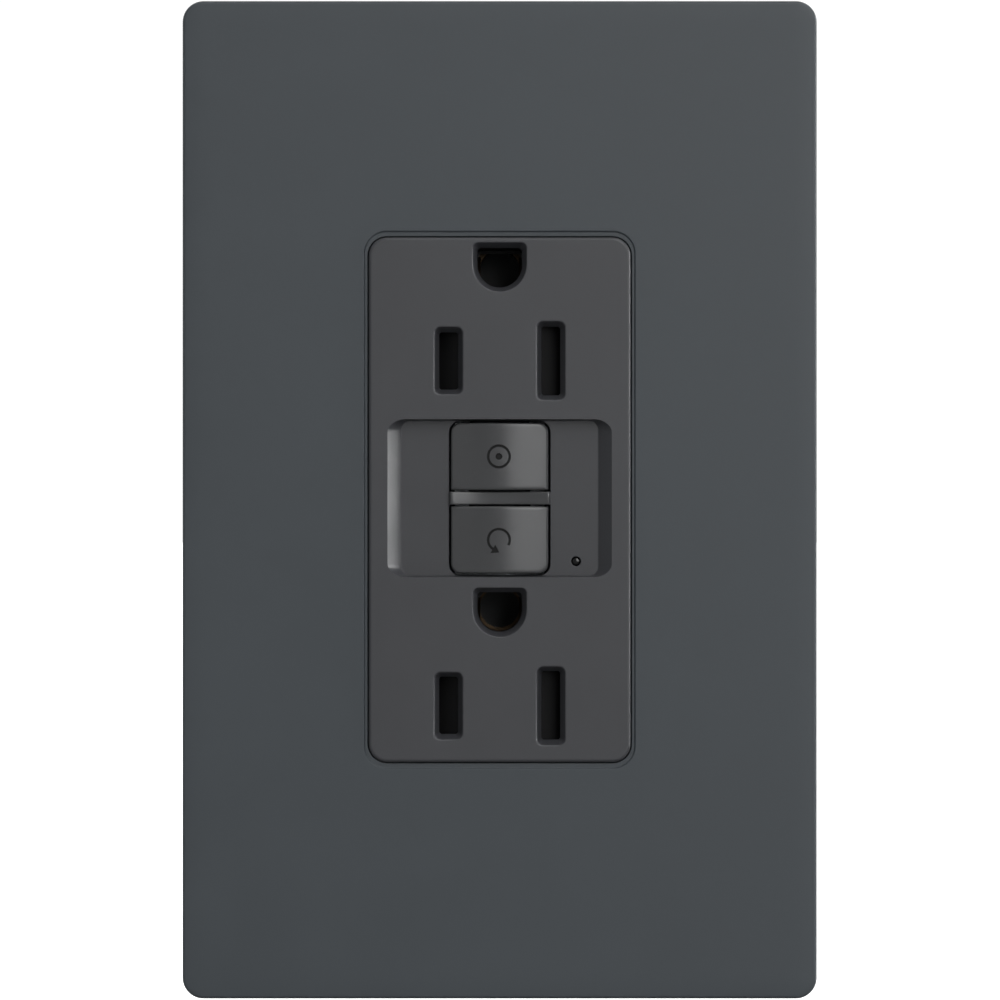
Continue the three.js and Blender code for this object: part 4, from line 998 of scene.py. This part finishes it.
def make_screw(node, slot, centre, head, radius, neck, shank, threaded, tip, recess, depth,
               pitch=0.794, axis="y", way=1, n=28, body=ROOT, material=None, slit=None):
    """Screw with a cross recess. Heights run along the axis and are multiplied by way.
    head: (radius, height, corner radius) from the axis out; neck: where the shank meets it.
    shank, threaded: (start, end) heights. tip: (radius, height).
    recess: (half length, half width, mouth, floor). slit: cutter for a straight slot."""
    low, high = sorted(way * h for h in threaded)
    count = round((high - low) / (pitch / 8))
    heights = [low + (high - low) * k / count for k in range(count + 1)]
    start, end = (way * h for h in shank)
    if end < start:
        heights.reverse()
    profile = [(r, way * h) for r, h in soft_line(head)[:-1]] + [(radius, way * neck)]
    profile += [(radius, h) for h in [start] + heights + [end]]
    profile += [(tip[0], way * tip[1]), (0, way * tip[1])]
    screw = Solid(lathe(profile, centre, axis, n, wave=thread(low, high, pitch, depth)))
    length, width, mouth, floor = recess
    for a, b in ((length, width), (width, length)):
        screw.cut(cross_arm(2 * a, 2 * b, way * mouth, way * floor, (0.8, 0.86), centre, axis))
    if slit:
        screw.cut(slit)
    piece(node, "threaded", screw.done(flat=0), slot, body, material, smooth=40)


SUB_PLATE_SCREW = dict(
    head=[(0, -3.35), (1.6, -3.3, .3), (2.75, -3.05, .1), (2.75, -2.95, .08), (1.5, -1.75)],
    radius=1.5, neck=-1.7, shank=(-1.6, 5.4), threaded=(-1.3, 5.3), tip=(1.0, 6.0), depth=0.24,
    recess=(1.75, 0.38, -3.3, -2.3))
MOUNTING_SCREW = dict(
    head=[(0, -2.95), (1.8, -2.85, .8), (3.0, -2.3, .6), (3.3, -1.6, .3), (3.3, -1.3, .06),
          (1.6, -1.3)],
    radius=1.6, neck=-1.28, shank=(-1.2, 16.6), threaded=(-0.6, 16.5), tip=(1.0, 17.6),
    depth=0.26, recess=(1.95, 0.42, -2.8, -2.05))
HOUSING_SCREW = dict(
    head=[(0, 28.8), (1.7, 28.7, .6), (2.5, 27.9, .25), (2.5, 27.2, .08), (1.2, 27.2)],
    radius=1.2, neck=27.15, shank=(27.1, 4.0), threaded=(4.2, 16.0), tip=(0.7, 3.1), depth=0.3,
    pitch=1.2, n=24, recess=(1.5, 0.38, 28.75, 27.95))
TERMINAL_SCREW = dict(
    head=[(0, 21.4), (3.3, 21.3, .3), (3.9, 20.6, .25), (3.9, 19.15, .12), (1.9, 19.15)],
    radius=1.9, neck=19.1, shank=(19.05, 10.4), threaded=(18.9, 10.5), tip=(1.2, 9.6),
    depth=0.28, n=32, axis="x", recess=(2.45, 0.5, 21.35, 20.3))
EARTH_SCREW = dict(
    head=[(0, -39.2), (3.3, -39.1, .3), (3.9, -38.4, .25), (3.9, -37.05, .12), (1.9, -37.05)],
    radius=1.9, neck=-37.0, shank=(-36.95, -31.6), threaded=(-36.8, -31.7), tip=(1.2, -30.9),
    depth=0.28, n=32, axis="z", recess=(2.45, 0.5, -39.15, -38.1))


# ================================================================== sub-plate
def make_sub_plate():
    x, z = 36.2, 58.75                  # half width and height
    front = -3.1
    plate = Solid(prism(rect(-x, -z, x, z, 2.0), front, -0.1, round0=0.3, round1=0.12))
    plate.cut(prism(rect(-x + 1.4, -z + 1.4, x - 1.4, z - 1.4, 0.9, 6), -1.5, 1.0, round0=0.25),
              prism(mid_rect(34.3, 67.2, 2.3), front, 2, flare0=0.2))
    # slots and catches down the sides, a window and ribs beside the device
    for side in SIGNS:
        for z in (-34, 34):
            plate.cut(prism(rect(side * 32.6, z - 7, side * 34.4, z + 7, 0.85, 6), -5, 1))
            catch = [(35.5, -3.0), (36.55, -2.45), (36.72, -2.3), (36.72, -2.15), (36.6, -2.1),
                     (35.5, -2.1)]
            plate.add(prism([(side * a, y) for a, y in catch], z - 4, z + 4, "z"))
        plate.cut(prism(rect(side * 22, -16, side * 30, 16, 1.4, 6), front, 2, flare0=0.2))
        plate.add(box(side * 19.4, -1.7, -52, side * 20.2, -0.6, 52))
        for z in (-25, 25, -46, 46):
            plate.add(box(side * 19.6, -1.7, z - 0.4, side * 31.8, -0.6, z + 0.4))
    # the same at top and bottom, and the holes for the screws
    for end in SIGNS:
        plate.cut(prism(rect(-8, end * 55.4, 8, end * 57.0, 0.75, 6), -5, 1))
        catch = [(-3.0, 58.1), (-2.45, 59.1), (-2.3, 59.27), (-2.15, 59.27), (-2.1, 59.15),
                 (-2.1, 58.1)]
        plate.add(prism([(y, end * a) for y, a in catch], -4, 4, "x"))
        plate.cut(rod(3.6, front, 1, (0, end * MOUNT_Z), n=40, flare0=0.25),
                  lathe([(0, -4.2), (3.25, -4.2), (3.1, -3.15), (1.85, -2.0), (1.85, 1), (0, 1)],
                        (0, end * PLATE_SCREW_Z), n=40))
    piece("sub_plate", "frame", plate.done(), "sub_plate", smooth=34)
    for tag, end in ENDS:
        make_screw(f"sub_plate_screw_{tag}", "painted_screw", (0, end * PLATE_SCREW_Z),
                   **SUB_PLATE_SCREW)


# ============================================================ mounting strap
def unrounded(points):
    return [(x, z, 0) for x, z in points]


def make_strap():
    # side view (y, z, radius) and right half of the front view (x, z, radius)
    side_view = [
        (7.4, -35.5, 1.4), (7.4, 35.5, 1.4), (0, 35.5, .3), (0, 55), (-1.2, 55),
        (-1.2, 34.3, 1.4), (6.2, 34.3, .3), (6.2, -34.3, .3), (-1.2, -34.3, 1.4),
        (-1.2, -55), (0, -55), (0, -35.5, .3)]
    ear = [(8.5, 45.4, .3), (9.3, 45.4, .3), (9.3, 43.4, .5)]
    ear += unrounded(arc(13.8, 45.0, 3.0, -60, 0, 8) + arc(13.8, 50.4, 3.0, 0, 90, 10))
    ear += [(9.3, 53.4, .5), (9.3, 49.8, .3), (8.5, 49.8, .3)]
    ear += unrounded(arc(7.0, 51.9, 1.5, 0, 90, 8))
    band = [(8.5, -32.6, .6), (5.7, -31.6, .8), (3.3, -30.6, .6), (3.3, -20.6, .6),
            (5.7, -19.6, .8), (5.7, 11.9, .8), (3.3, 12.7, .6), (3.3, 22.4, .6),
            (5.7, 23.4, .8), (5.7, 32.6, .6), (8.5, 32.8, .4)]
    right = [(x, -z, r) for x, z, r in reversed(ear)] + band + ear
    front_view = right + [(-x, z, r) for x, z, r in reversed(right)]
    strap = Solid(prism(soften(side_view, 0, 8), -18, 18, "x"))
    strap.keep(prism(soften(front_view), -3, 9))
    tab = [(4.5, 6.4), (8.5, 6.4, .8), (17.2, 8.0, .8), (17.2, 17.2, .8), (7.6, 17.2, .8),
           (7.6, 9.4, 1.0)]             # (x, y, radius), holds the ground screw
    strap.add(prism(soften(tab, 0.3, 5), -35.5, -34.3, "z"))
    strap.cut(rod(2.1, -36, -34, GROUND_SCREW, "z"),
              prism(rect(-3.9, -9.2, 3.9, 10.4, 1.0, 5), 5, 9))
    for z in GROUND_Z:
        strap.cut(rod(2.9, 5, 9, (0, z), n=40))
    for end in SIGNS:
        strap.cut(prism(mid_rect(6.2, 4.1, 2.0, 8, 0, end * MOUNT_Z), -3, 1),
                  rod(1.75, -3, 1, (0, end * PLATE_SCREW_Z)))
    piece("mounting_strap", "pressing", bevel(strap.done(1e-3, 0.3), 0.09, angle=40), "zinc",
          smooth=36)
    for tag, end in ENDS:
        z = end * MOUNT_Z
        node = f"mounting_screw_{tag}"
        make_screw(node, "zinc", (0, z), body=f"{node}_body", material="clamp_zinc",
                   **MOUNTING_SCREW)
        washer = Solid(prism(mid_rect(9.5, 7.6, 0.8, 5, 0, z), 0.2, 1.4, round0=0.12,
                             round1=0.12))
        washer.cut(rod(1.85, 0.2, 1.4, (0, z), n=28))
        for s in SIGNS:
            washer.cut(box(s * 1.2 - 0.12, -1, z - 0.12, s * 3.0 + 0.12, 3, z + 0.12))
        piece(f"screw_retainer_{tag}", "washer", washer.done(), "fibre")


# ============================================= pieces that keep the CAD's shapes
def bevelled(node, slot, width, body=ROOT, material=None, segments=2, suffix="pressed"):
    """The CAD node's own mesh, welded, flat regions merged and edges bevelled."""
    shape = shape_of(NODES[node].data)
    shape.points = shape.points * 1000.0 + TO_WALL
    piece(node, suffix, bevel(tidy(shape, 2e-3, 0.5), width, segments), slot, body, material,
          smooth=36)


def make_contacts():
    for tag, _ in ENDS:
        # the ground contacts get near-black metal as painted shade down the ground holes
        bevelled(f"ground_contact_{tag}", "brass", 0.06, material="bronze")
    for _, pole, slot in SIDES:
        bevelled(f"face_{pole}_contacts", slot, 0.06)
        bevelled(f"line_{pole}_terminal", slot, 0.08)
        bevelled(f"load_{pole}_terminal", slot, 0.08)
        bevelled(f"line_{pole}_arm", "copper", 0.05, f"{pole}_arm_body")
    bevelled("test_contact_arm", "copper", 0.03, "test_contact_body")
    bevelled("shutter_retainer", "nylon", 0.08, material="shutter")
    bevelled("latch_block", "nylon", 0.18, "latch_block_body", segments=3, suffix="moulding")
    bevelled("latch_plate", "steel", 0.07, "latch_plate_body")


# ================================================================= housings
def terminal_pocket(side, z, y0, y1, **ends):
    return prism(rect(side * POCKET_X, z - 5.4, side * 23, z + 5.4, 0.35, 3), y0, y1, **ends)


def terminal_hole(side, z):
    return rod(2.25, side * 9, side * 22, (TERM_Y, z), "x")


def ground_screw_hole():
    return rod(2.4, -35.5, -30.4, GROUND_SCREW, "z")


def make_middle_housing():
    body = Solid(prism(mid_rect(BODY_W, BODY_H, BODY_R), 6.3, 13.6, round0=0.12, round1=0.15))
    body.cut(prism(mid_rect(BODY_W - 3.4, BODY_H - 3.4, 1.0, 5), 5.5, 11.8, round1=0.25))
    for end in SIGNS:
        body.cut(box(-8.8, 5.5, end * 32, 8.8, 7.7, end * 35.2))
    # sleeves round the blade and ground contacts
    for blade_z, ground_z in zip(BLADE_Z, GROUND_Z):
        for side in SIGNS:
            x = side * BLADE_X
            body.add(prism(mid_rect(5.0, 11.4, 0.4, 4, x, blade_z), 7.9, 13.6, round0=0.2))
            body.cut(prism(mid_rect(2.8, 9.2, 0.2, 3, x, blade_z), 7.9, 12.6, flare0=0.15))
        body.add(rod(3.7, 7.9, 16.0, (0, ground_z), n=40, round0=0.2, round1=0.3))
        body.cut(rod(2.8, 7.9, 15.1, (0, ground_z), n=40, flare0=0.15))
    body.add(rod(3.5, 8.1, 12.2, (0, PIN_Z), n=40))
    body.cut(rod(1.25, 5, 14, (0, PIN_Z), n=28), rod(1.6, 5, 14, LED, n=28))
    body.add(box(-2.6, 8.6, 7.4, 2.6, 12.0, 10.4))
    for side in SIGNS:
        body.cut(box(side * 11.6, 5.5, -6.5, side * 12.9, 14, -1.9))
        for end in SIGNS:
            z = end * TERM_Z
            body.add(prism(mid_rect(6.2, 6.0, 0.8, 5, side * 17.5, end * 30.4), 6.3, 13.6),
                     prism(rect(side * 14.8, z - 6.6, side * 20, z + 6.6, 0.3, 3), 9.0, 13.6,
                           round0=0.2))
            body.cut(terminal_pocket(side, z, 9.9, 14.5, round0=0.3), terminal_hole(side, z),
                     rod(1.6, 5, 14.5, (side * SCREW_X, end * SCREW_Z), n=28))
    body.cut(ground_screw_hole())
    piece("middle_housing", "moulding", body.done(), "separator", smooth=34)


def make_rear_housing():
    back = 29.0
    body = Solid(prism(mid_rect(BODY_W, BODY_H, BODY_R, 10), 13.8, back, round0=0.12,
                       round1=0.6, steps=6))
    body.cut(prism(mid_rect(38.6, 33.0, 0.8, 4), 13, 27.3, round1=0.3),
             prism(mid_rect(29.6, 64.6, 0.8, 4), 13, 27.3, round1=0.3))
    wire_hole = [(0, 19.0), (1.5, 19.0), (1.5, 28.1, .6), (2.15, 28.85, .3), (2.6, 29.02),
                 (2.6, 31), (0, 31)]
    for side in SIGNS:
        for end in SIGNS:
            z, centre = end * TERM_Z, (side * SCREW_X, end * SCREW_Z)
            body.add(rod(3.2, 13.8, 27.6, centre, n=36))
            body.cut(terminal_pocket(side, z, 13, 19.7, round1=0.35), terminal_hole(side, z),
                     box(side * 12, 13, 19.0, side * 17.0, 19.2, 21.6) if end > 0
                     else box(side * 12, 13, -28.4, side * 17.0, 15.0, -25.6),
                     rod(1.6, 12, 30, centre, n=28),
                     rod(2.8, 27.0, back, centre, n=36, flare1=0.25))
            for dz in (-WIRE_DZ, WIRE_DZ):
                body.cut(lathe(soft_line(wire_hole, 0), (side * 18.8, z + dz), n=32))
        # strip gauge: a shallow upright groove
        body.cut(prism(rect(side * 13.4, -8.0, side * 15.0, 8.0, 0.79), 28.55, back,
                       flare1=0.12))
    body.cut(ground_screw_hole(), box(-4.3, 13, 31.5, 4.3, 16.6, 33.2),
             prism(mid_rect(24, 40, 1.5), 28.7, back, flare1=0.2))
    # round marks and a small boss inside the shallow panel
    for centre in ((-9, 16), (9, 16), (-9, -16), (9, -16)):
        body.cut(rod(1.3, 28.6, 29.5, centre, n=28))
    body.add(rod(0.8, 28.5, 28.82, n=20, round1=0.1))
    # pole marks on the outer sides: two bars for hot, one for neutral
    for side, end in CORNERS:
        for offset in (-0.5, 0.5) if side < 0 else (0,):
            z = end * 14.5 + offset * 1.6
            body.cut(box(side * 20.85, 15.4, z - 0.35, side * 21.5, 19.4, z + 0.35))
    piece("rear_housing", "moulding", body.done(), "housing", smooth=34)
    for tag, end in ENDS:
        for hand, side in (("left", -1), ("right", 1)):
            make_screw(f"housing_screw_{tag}_{hand}", "steel", (side * SCREW_X, end * SCREW_Z),
                       **HOUSING_SCREW)


# ================================================================ terminals
def make_terminal(side, slot, node, z):
    """Clamp plate with two toothed wire grooves, and its screw."""
    clamp = Solid(prism(rect(10.2, z - 4.4, 19.0, z + 4.4, 0.7, 5), side * 17.8, side * 19.0,
                        "x", round0=0.12, round1=0.12))
    clamp.cut(rod(2.2, side * 17, side * 20, (TERM_Y, z), "x"))
    for dz in (-WIRE_DZ, WIRE_DZ):
        clamp.cut(rod(1.3, 9, 20, (side * 17.05, z + dz), n=24))
        for k in range(5):
            y = 11.4 + k * 1.6
            clamp.cut(prism([(side * 17.7, y - 0.25), (side * 18.5, y), (side * 17.7, y + 0.25)],
                            z + dz - 0.95, z + dz + 0.95, "z"))
    piece(f"{node}_clamp", "plate", clamp.done(), "zinc", f"{node}_clamp_body", "clamp_zinc",
          smooth=34)
    slit = prism(mid_rect(1.1, 7.9, 0.1, 2, TERM_Y, z), side * 20.95, side * 22, "x")
    make_screw(f"{node}_screw", slot, (TERM_Y, z), way=side, body=f"{node}_screw_body",
               slit=slit, **TERMINAL_SCREW)


def make_terminals():
    for side, pole, slot in SIDES:
        for row, end in (("line", 1), ("load", -1)):
            make_terminal(side, slot, f"{row}_{pole}", end * TERM_Z)
    x, y = GROUND_SCREW
    clamp = Solid(prism(rect(x - 4.4, y - 4.2, x + 4.4, y + 4.2, 0.7, 5), -36.9, -35.7, "z",
                        round0=0.12, round1=0.12))
    clamp.cut(rod(2.2, -38, -35, GROUND_SCREW, "z"))
    for groove in (9.4, 10.2, 15.0, 15.8):
        clamp.cut(prism([(groove - 0.2, -35.5), (groove + 0.2, -35.5), (groove, -35.95)],
                        x - 4.1, x + 4.1, "x"))
    piece("ground_clamp", "plate", clamp.done(), "zinc", "ground_clamp_body", "clamp_zinc",
          smooth=34)
    slit = prism(mid_rect(7.9, 1.1, 0.1, 2, x, y), -40.5, -38.75, "z")
    make_screw("ground_screw", "green_screw", GROUND_SCREW, body="ground_screw_body",
               slit=slit, **EARTH_SCREW)


# ================================================ reset pin, its spring and lamp
def make_pin_and_lamp():
    pin = [(0, -3.6), (1.0, -3.6, .2), (1.0, 15.3, .15), (0.75, 15.6, .15), (0.75, 19.9, .1),
           (1.15, 20.1, .1), (1.15, 21.2, .2), (0.5, 22.0, .2), (0, 22.0)]
    piece("reset_pin", "turned", lathe(soft_line(pin), (0, PIN_Z), n=32), "steel",
          "reset_button_body", smooth=40)
    wire = coil(radius=2.2, turns=7.0, start=-0.05, length=7.6, centre=(0, PIN_Z), axis="y",
                points=360, wire=0.24, n=10,
                ease=([0, 0.13, 0.87, 1.0], [0.0, 0.065, 0.935, 1.0]))
    spring("reset_spring", wire)
    bulb = [(0, 14.0), (0.35, 14.03, .2), (1.05, 14.6, .7), (1.2, 15.4, .3), (1.2, 17.6, .1),
            (0, 17.6)]
    x, z = LED
    parts = [(lathe(soft_line(bulb, 0.1, 6), LED, n=28), "led")]
    for x0, x1 in ((x - 0.85, x - 0.45), (x + 0.45, x + 0.85)):
        parts.append((box(x0, 17.3, z - 0.2, x1, 25.4, z + 0.2, 0.04), "solder"))
    compound("indicator_led", "lamp", parts, "led")


# ================================================================== solenoid
def make_solenoid():
    y = COIL_Y
    bobbin = Solid(rod(2.3, -27.4, -13.6, (0, y), "z", 36))
    for z in (-27.4, -14.4):
        bobbin.add(prism(mid_rect(8.8, 8.6, 0.8, 6, 0, y), z, z + 0.8, "z", round0=0.12,
                         round1=0.12))
    bobbin.cut(rod(1.85, -30, -10, (0, y), "z", 36))
    for side in SIGNS:      # wire slots in the upper flange
        bobbin.cut(box(side * 3.1, y + 3.4, -15, side * 3.5, y + 5, -13))
    piece("solenoid_bobbin", "moulding", bobbin.done(), "nylon")
    winding = coil(radius=3.83, turns=36, start=-26.25, length=11.5, centre=(0, y), axis="z",
                   points=36 * 28, wire=0.16, n=7)
    compound("solenoid_coil", "winding",
             [(ring(2.45, 3.7, -26.4, -14.6, (0, y), "z", 40), "wire"), (winding, "wire")],
             "copper")
    plunger = [(0, -31.3), (2.7, -31.3, .2), (2.7, -30.6, .2), (1.65, -30.6, .15),
               (1.65, -11.0, .15), (1.1, -10.2, .3), (0, -10.2)]
    piece("solenoid_plunger", "turned", lathe(soft_line(plunger), (0, y), "z", 36), "steel",
          "plunger_body", smooth=40)
    wire = coil(radius=2.15, turns=3.4, start=-30.2, length=2.42, centre=(0, y), axis="z",
                points=160, wire=0.17, n=9, ease=([0, 0.2, 0.8, 1.0], [0.0, 0.12, 0.88, 1.0]))
    spring("plunger_spring", wire)


# =============================================================== transformers
def toroid_winding(y0, y1, r0, r1, turns, start, end, wire):
    """Wire wound round a ring core, spread between two angles in degrees."""
    per_turn = 16
    section = np.array(soften([(r0, y0), (r1, y0), (r1, y1), (r0, y1)], 0.35))
    after = np.roll(section, -1, 0)
    lengths = np.linalg.norm(after - section, axis=1)
    run = np.concatenate([[0], np.cumsum(lengths)])
    points = []
    for k in range(turns * per_turn):
        u = (k / per_turn) % 1.0 * run[-1]
        i = min(len(lengths) - 1, int(np.searchsorted(run, u, side="right") - 1))
        t = (u - run[i]) / max(lengths[i], 1e-9)
        r, y = section[i] * (1 - t) + after[i] * t
        angle = radians(start + (end - start) * k / (turns * per_turn))
        points.append((RING_CENTRE[0] + r * cos(angle), y, RING_CENTRE[1] + r * sin(angle)))
    return tube(points, wire, 6)


def make_transformers():
    cup = [(2.9, 16.4), (3.6, 16.4), (3.6, 23.5), (7.9, 23.5), (7.9, 16.4), (8.6, 16.4),
           (8.6, 24.2), (2.9, 24.2)]
    piece("transformer_cup", "moulding",
          lathe(soften(cup, 0.15), RING_CENTRE, n=56, loop=True), "nylon", smooth=34)
    # node, front y, turns, start and end of the winding in degrees
    for node, y0, turns, start, end in (("sense_transformer", 16.9, 92, -150, 195),
                                        ("neutral_transformer", 20.2, 46, -60, 120)):
        section = [(4.22, y0 + 0.32), (7.08, y0 + 0.32), (7.08, y0 + 2.68), (4.22, y0 + 2.68)]
        core = lathe(soften(section), RING_CENTRE, n=64, loop=True)
        wire = toroid_winding(y0 + 0.2, y0 + 2.8, 4.1, 7.2, turns, start, end, wire=0.11)
        compound(node, "wound", [(core, "ferrite"), (wire, "wire")], "ferrite", smooth=38)


# ============================================================== circuit board
# x, z, width, height, material of the small parts lying on the board's front
SMALL_PARTS = [(-3, -27, 2.0, 1.2, "chip"), (2.5, -29, 1.2, 2.0, "resistor"),
               (-7.5, 26.5, 2.0, 1.2, "film"), (6.8, 28.0, 1.2, 2.0, "chip"),
               (5.5, -1.5, 2.0, 1.2, "resistor"), (-4.5, 4.5, 1.2, 2.0, "film")]
CHIP_LEG_Z = [1.75 + k * 1.17 for k in range(4)]
# x, z of the solder joints on the board's back
JOINTS = [(x, z) for x in (-12.9, -9.4) for z in CHIP_LEG_Z] + [
    (11.8, 2.0), (11.8, 8.4), (-12, -23), (-12, -19), (10.4, -23), (10.4, -21.4),
    (10.4, -19.8), (-11.6, -15.3), (-11.6, -9.6), (LED[0] - .65, LED[1]),
    (LED[0] + .65, LED[1]), (0.8, 25.5), (-0.8, 25.5), (3.5, 24.8), (-3.5, 24.8),
    (3.0, -12.6), (-3.0, -12.6), (11.4, 20.3), (-11.4, 20.3)]


def make_board():
    parts = []

    def add(material, *shapes):
        parts.extend((shape, material) for shape in shapes)

    laminate = Solid(prism(mid_rect(28.8, 63.6, 1.0, 5), 25.6, 27.0))
    for side, end in CORNERS:
        laminate.cut(rod(3.6, 25, 28, (side * SCREW_X, end * SCREW_Z), n=36))
    add("board", laminate.done())
    # chip with its legs
    add("chip", box(-12.9, 24.0, 1.2, -9.5, 25.3, 5.8, 0.15))
    add("solder", rod(0.3, 23.97, 24.4, (-12.3, 5.2), n=16))
    for z in CHIP_LEG_Z:
        for s, x in ((-1, -12.9), (1, -9.5)):
            leg = [(x, 24.8), (x + s * 0.45, 24.8), (x + s * 0.5, 25.62), (x + s * 0.28, 25.62),
                   (x + s * 0.22, 25.02), (x, 25.02)]
            add("solder", prism(leg, z - 0.18, z + 0.18, "z"))
    # film capacitor
    add("film", box(9.6, 18.2, 0.8, 14.0, 25.2, 9.6, 0.55))
    # varistor: a lacquered disc on a foot
    add("disc", rod(4.25, -13.55, -10.65, (21.4, -21.0), "x", 48, round0=0.8, round1=0.8,
                    steps=5),
        box(-13.0, 24.6, -23.2, -11.2, 25.62, -18.8, 0.3))
    # thyristor
    case = soften([(9.5, -23.9), (11.3, -23.9), (11.3, -18.7), (9.5, -18.7)], 0.2, 3)
    add("chip", prism(case, 21.6, 24.6, round0=0.25))
    for k in range(3):
        z = -23.0 + 1.6 * k
        add("solder", box(10.25, 24.5, z - 0.2, 10.55, 25.65, z + 0.2))
    # resistor with dog-bone ends and colour rings
    bone = [(0, -15.0), (0.85, -15.0, .3), (1.05, -14.3, .3), (0.88, -13.7, .3),
            (0.88, -11.3, .3), (1.05, -10.7, .3), (0.85, -10.0, .3), (0, -10.0)]
    axis = (-11.6, 24.5)
    add("resistor", lathe(soft_line(bone), axis, "z", 28))
    for z, r, material in ((-14.3, 1.07, "green_screw"), (-13.2, 0.9, "film"),
                           (-12.4, 0.9, "chip"), (-10.75, 1.07, "brass")):
        add(material, ring(0.5, r, z - 0.18, z + 0.18, axis, "z", 28))
    for x, z, w, h, material in SMALL_PARTS:
        add(material, box(x - w / 2, 25.05, z - h / 2, x + w / 2, 25.62, z + h / 2, 0.06))
    joint = [(0, 27.28), (0.18, 27.25, .1), (0.55, 26.98, .2), (0.55, 26.9), (0, 26.9)]
    for centre in JOINTS:
        add("solder", lathe(soft_line(joint, 0.05), centre, n=14))
    compound("circuit_board", "assembly", parts, "board", smooth=38)


def dress_remaining_nodes():
    """CAD nodes that nothing replaces keep their shape and get their slot's material."""
    slots = {s["node"]: s.get("material_slot") for s in frame["record"].get("subparts", [])}
    for name, node in NODES.items():
        if not node.hide_render:
            node.data.materials.clear()
            node.data.materials.append(MATERIALS.get(slots.get(name), MATERIALS["steel"]))


make_wall_plate()
make_front_cover()
make_button("test_button", 1.2, 9.55, [0.12, 1.2, 1.2, 0.12], test_details)
make_button("reset_button", -9.15, -0.8, [1.2, 0.12, 0.12, 1.2], reset_details)
make_light_pipe()
make_shutters()
make_sub_plate()
make_strap()
make_contacts()
make_middle_housing()
make_rear_housing()
make_terminals()
make_pin_and_lamp()
make_solenoid()
make_transformers()
make_board()
dress_remaining_nodes()

# ================================================================== the stage
# Upright bands of light: from and to in radians round the object (0 towards the camera, pi/2 to
# the right), softness, radiance, and whether the band is short in height.
BANDS = [(-0.30, 0.10, 0.05, 0.20, False), (0.10, 0.58, 0.05, 3.9, False),
         (0.58, 1.22, 0.05, 0.36, False), (1.22, 1.40, 0.05, 1.0, False),
         (1.43, 1.58, 0.03, 34.0, True), (-1.15, -0.30, 0.05, 0.50, False),
         (-1.60, -1.15, 0.05, 0.18, False)]
# radiance overhead in front, overhead near the wall plane, behind, and everywhere
TOP_LIGHT, TOP_EDGE_LIGHT, BACK_LIGHT, ROOM_LIGHT = 0.28, 2.6, 0.80, 0.01


def make_world():
    """Soft studio light by direction; the camera itself sees plain white."""
    g = Graph(bpy.data.worlds.new("studio"), "ShaderNodeOutputWorld")
    scene.world = g.owner
    direction = g.node("ShaderNodeTexCoord", out="Generated")
    x, y, z = g.node("ShaderNodeSeparateXYZ", {0: direction}).node.outputs

    def step(value, low, high):
        return g.node("ShaderNodeMapRange", {"Value": value, "From Min": low, "From Max": high},
                      interpolation_type="SMOOTHSTEP")

    def times(a, b):
        return g.math("MULTIPLY", a, b)

    around = g.math("ARCTAN2", x, times(y, -1.0))
    tall = times(step(z, 0.93, 0.75), step(z, -0.93, -0.75))
    short = times(step(z, 0.36, 0.24), step(z, -0.36, -0.24))
    lights = []
    for low, high, soft, level, is_short in BANDS:
        band = times(step(around, low - soft, low + soft), step(around, high + soft, high - soft))
        lights.append(times(times(band, short if is_short else tall), level))
    above = step(z, 0.75, 0.93)
    near = times(step(y, 0.03, -0.02), step(y, -0.20, -0.12))
    back = step(y, 0.16, 0.40)
    lights += [times(times(above, step(y, -0.12, -0.20)), TOP_LIGHT),
               times(times(above, near), TOP_EDGE_LIGHT),
               times(back, BACK_LIGHT),
               times(times(back, step(z, -0.3, 0.9)), BACK_LIGHT * 1.3),
               ROOM_LIGHT]
    total = lights[0]
    for light in lights[1:]:
        total = g.math("ADD", total, light)
    lit = g.node("ShaderNodeBackground", {"Strength": total, "Color": (1, 1, 1)})
    white = g.node("ShaderNodeBackground", {"Strength": 1.05, "Color": (1, 1, 1)})
    seen = g.node("ShaderNodeLightPath", out="Is Camera Ray")
    g.finish(g.node("ShaderNodeMixShader", {0: seen, 1: lit, 2: white}))


def make_floor():
    """Disc that looks pale to the camera and reflects less light onto the object."""
    n, radius, z = 96, 9.0, -0.097          # metres
    mesh = bpy.data.meshes.new("floor")
    angles = [2 * pi * i / n for i in range(n)]
    mesh.from_pydata([(radius * cos(a), radius * sin(a), z) for a in angles], [],
                     [tuple(range(n))])
    made = bpy.data.objects.new("floor", mesh)
    scene.collection.objects.link(made)
    g = Graph(bpy.data.materials.new("floor"))
    seen = g.node("ShaderNodeLightPath", out="Is Camera Ray")
    color = g.mix(seen, (0.25, 0.25, 0.25), (0.8, 0.8, 0.8))
    diffuse = g.node("ShaderNodeBsdfDiffuse", {"Color": color})
    glow = g.node("ShaderNodeEmission", {"Strength": g.math("MULTIPLY", seen, 0.62)})
    mesh.materials.append(g.finish(g.node("ShaderNodeAddShader", {0: diffuse, 1: glow})))


def make_camera():
    """Long lens looking squarely at the wall plate's front."""
    view = 124.007937                       # mm across the view at the plate's front
    camera = bpy.data.cameras.new("lens")
    camera.lens, camera.sensor_width = 150, 36
    camera.clip_start, camera.clip_end = 0.01, 30
    made = bpy.data.objects.new("camera", camera)
    scene.collection.objects.link(made)
    distance = view * 0.001 * 150 / 36
    made.location = (0.00004, (PLATE_FRONT - WALL_Y) * 0.001 - distance, -0.000025)
    made.rotation_euler = (radians(90), 0, 0)
    scene.camera = made


make_world()
make_floor()
scene.view_settings.view_transform = "Standard"
scene.view_settings.look = "None"
make_camera()
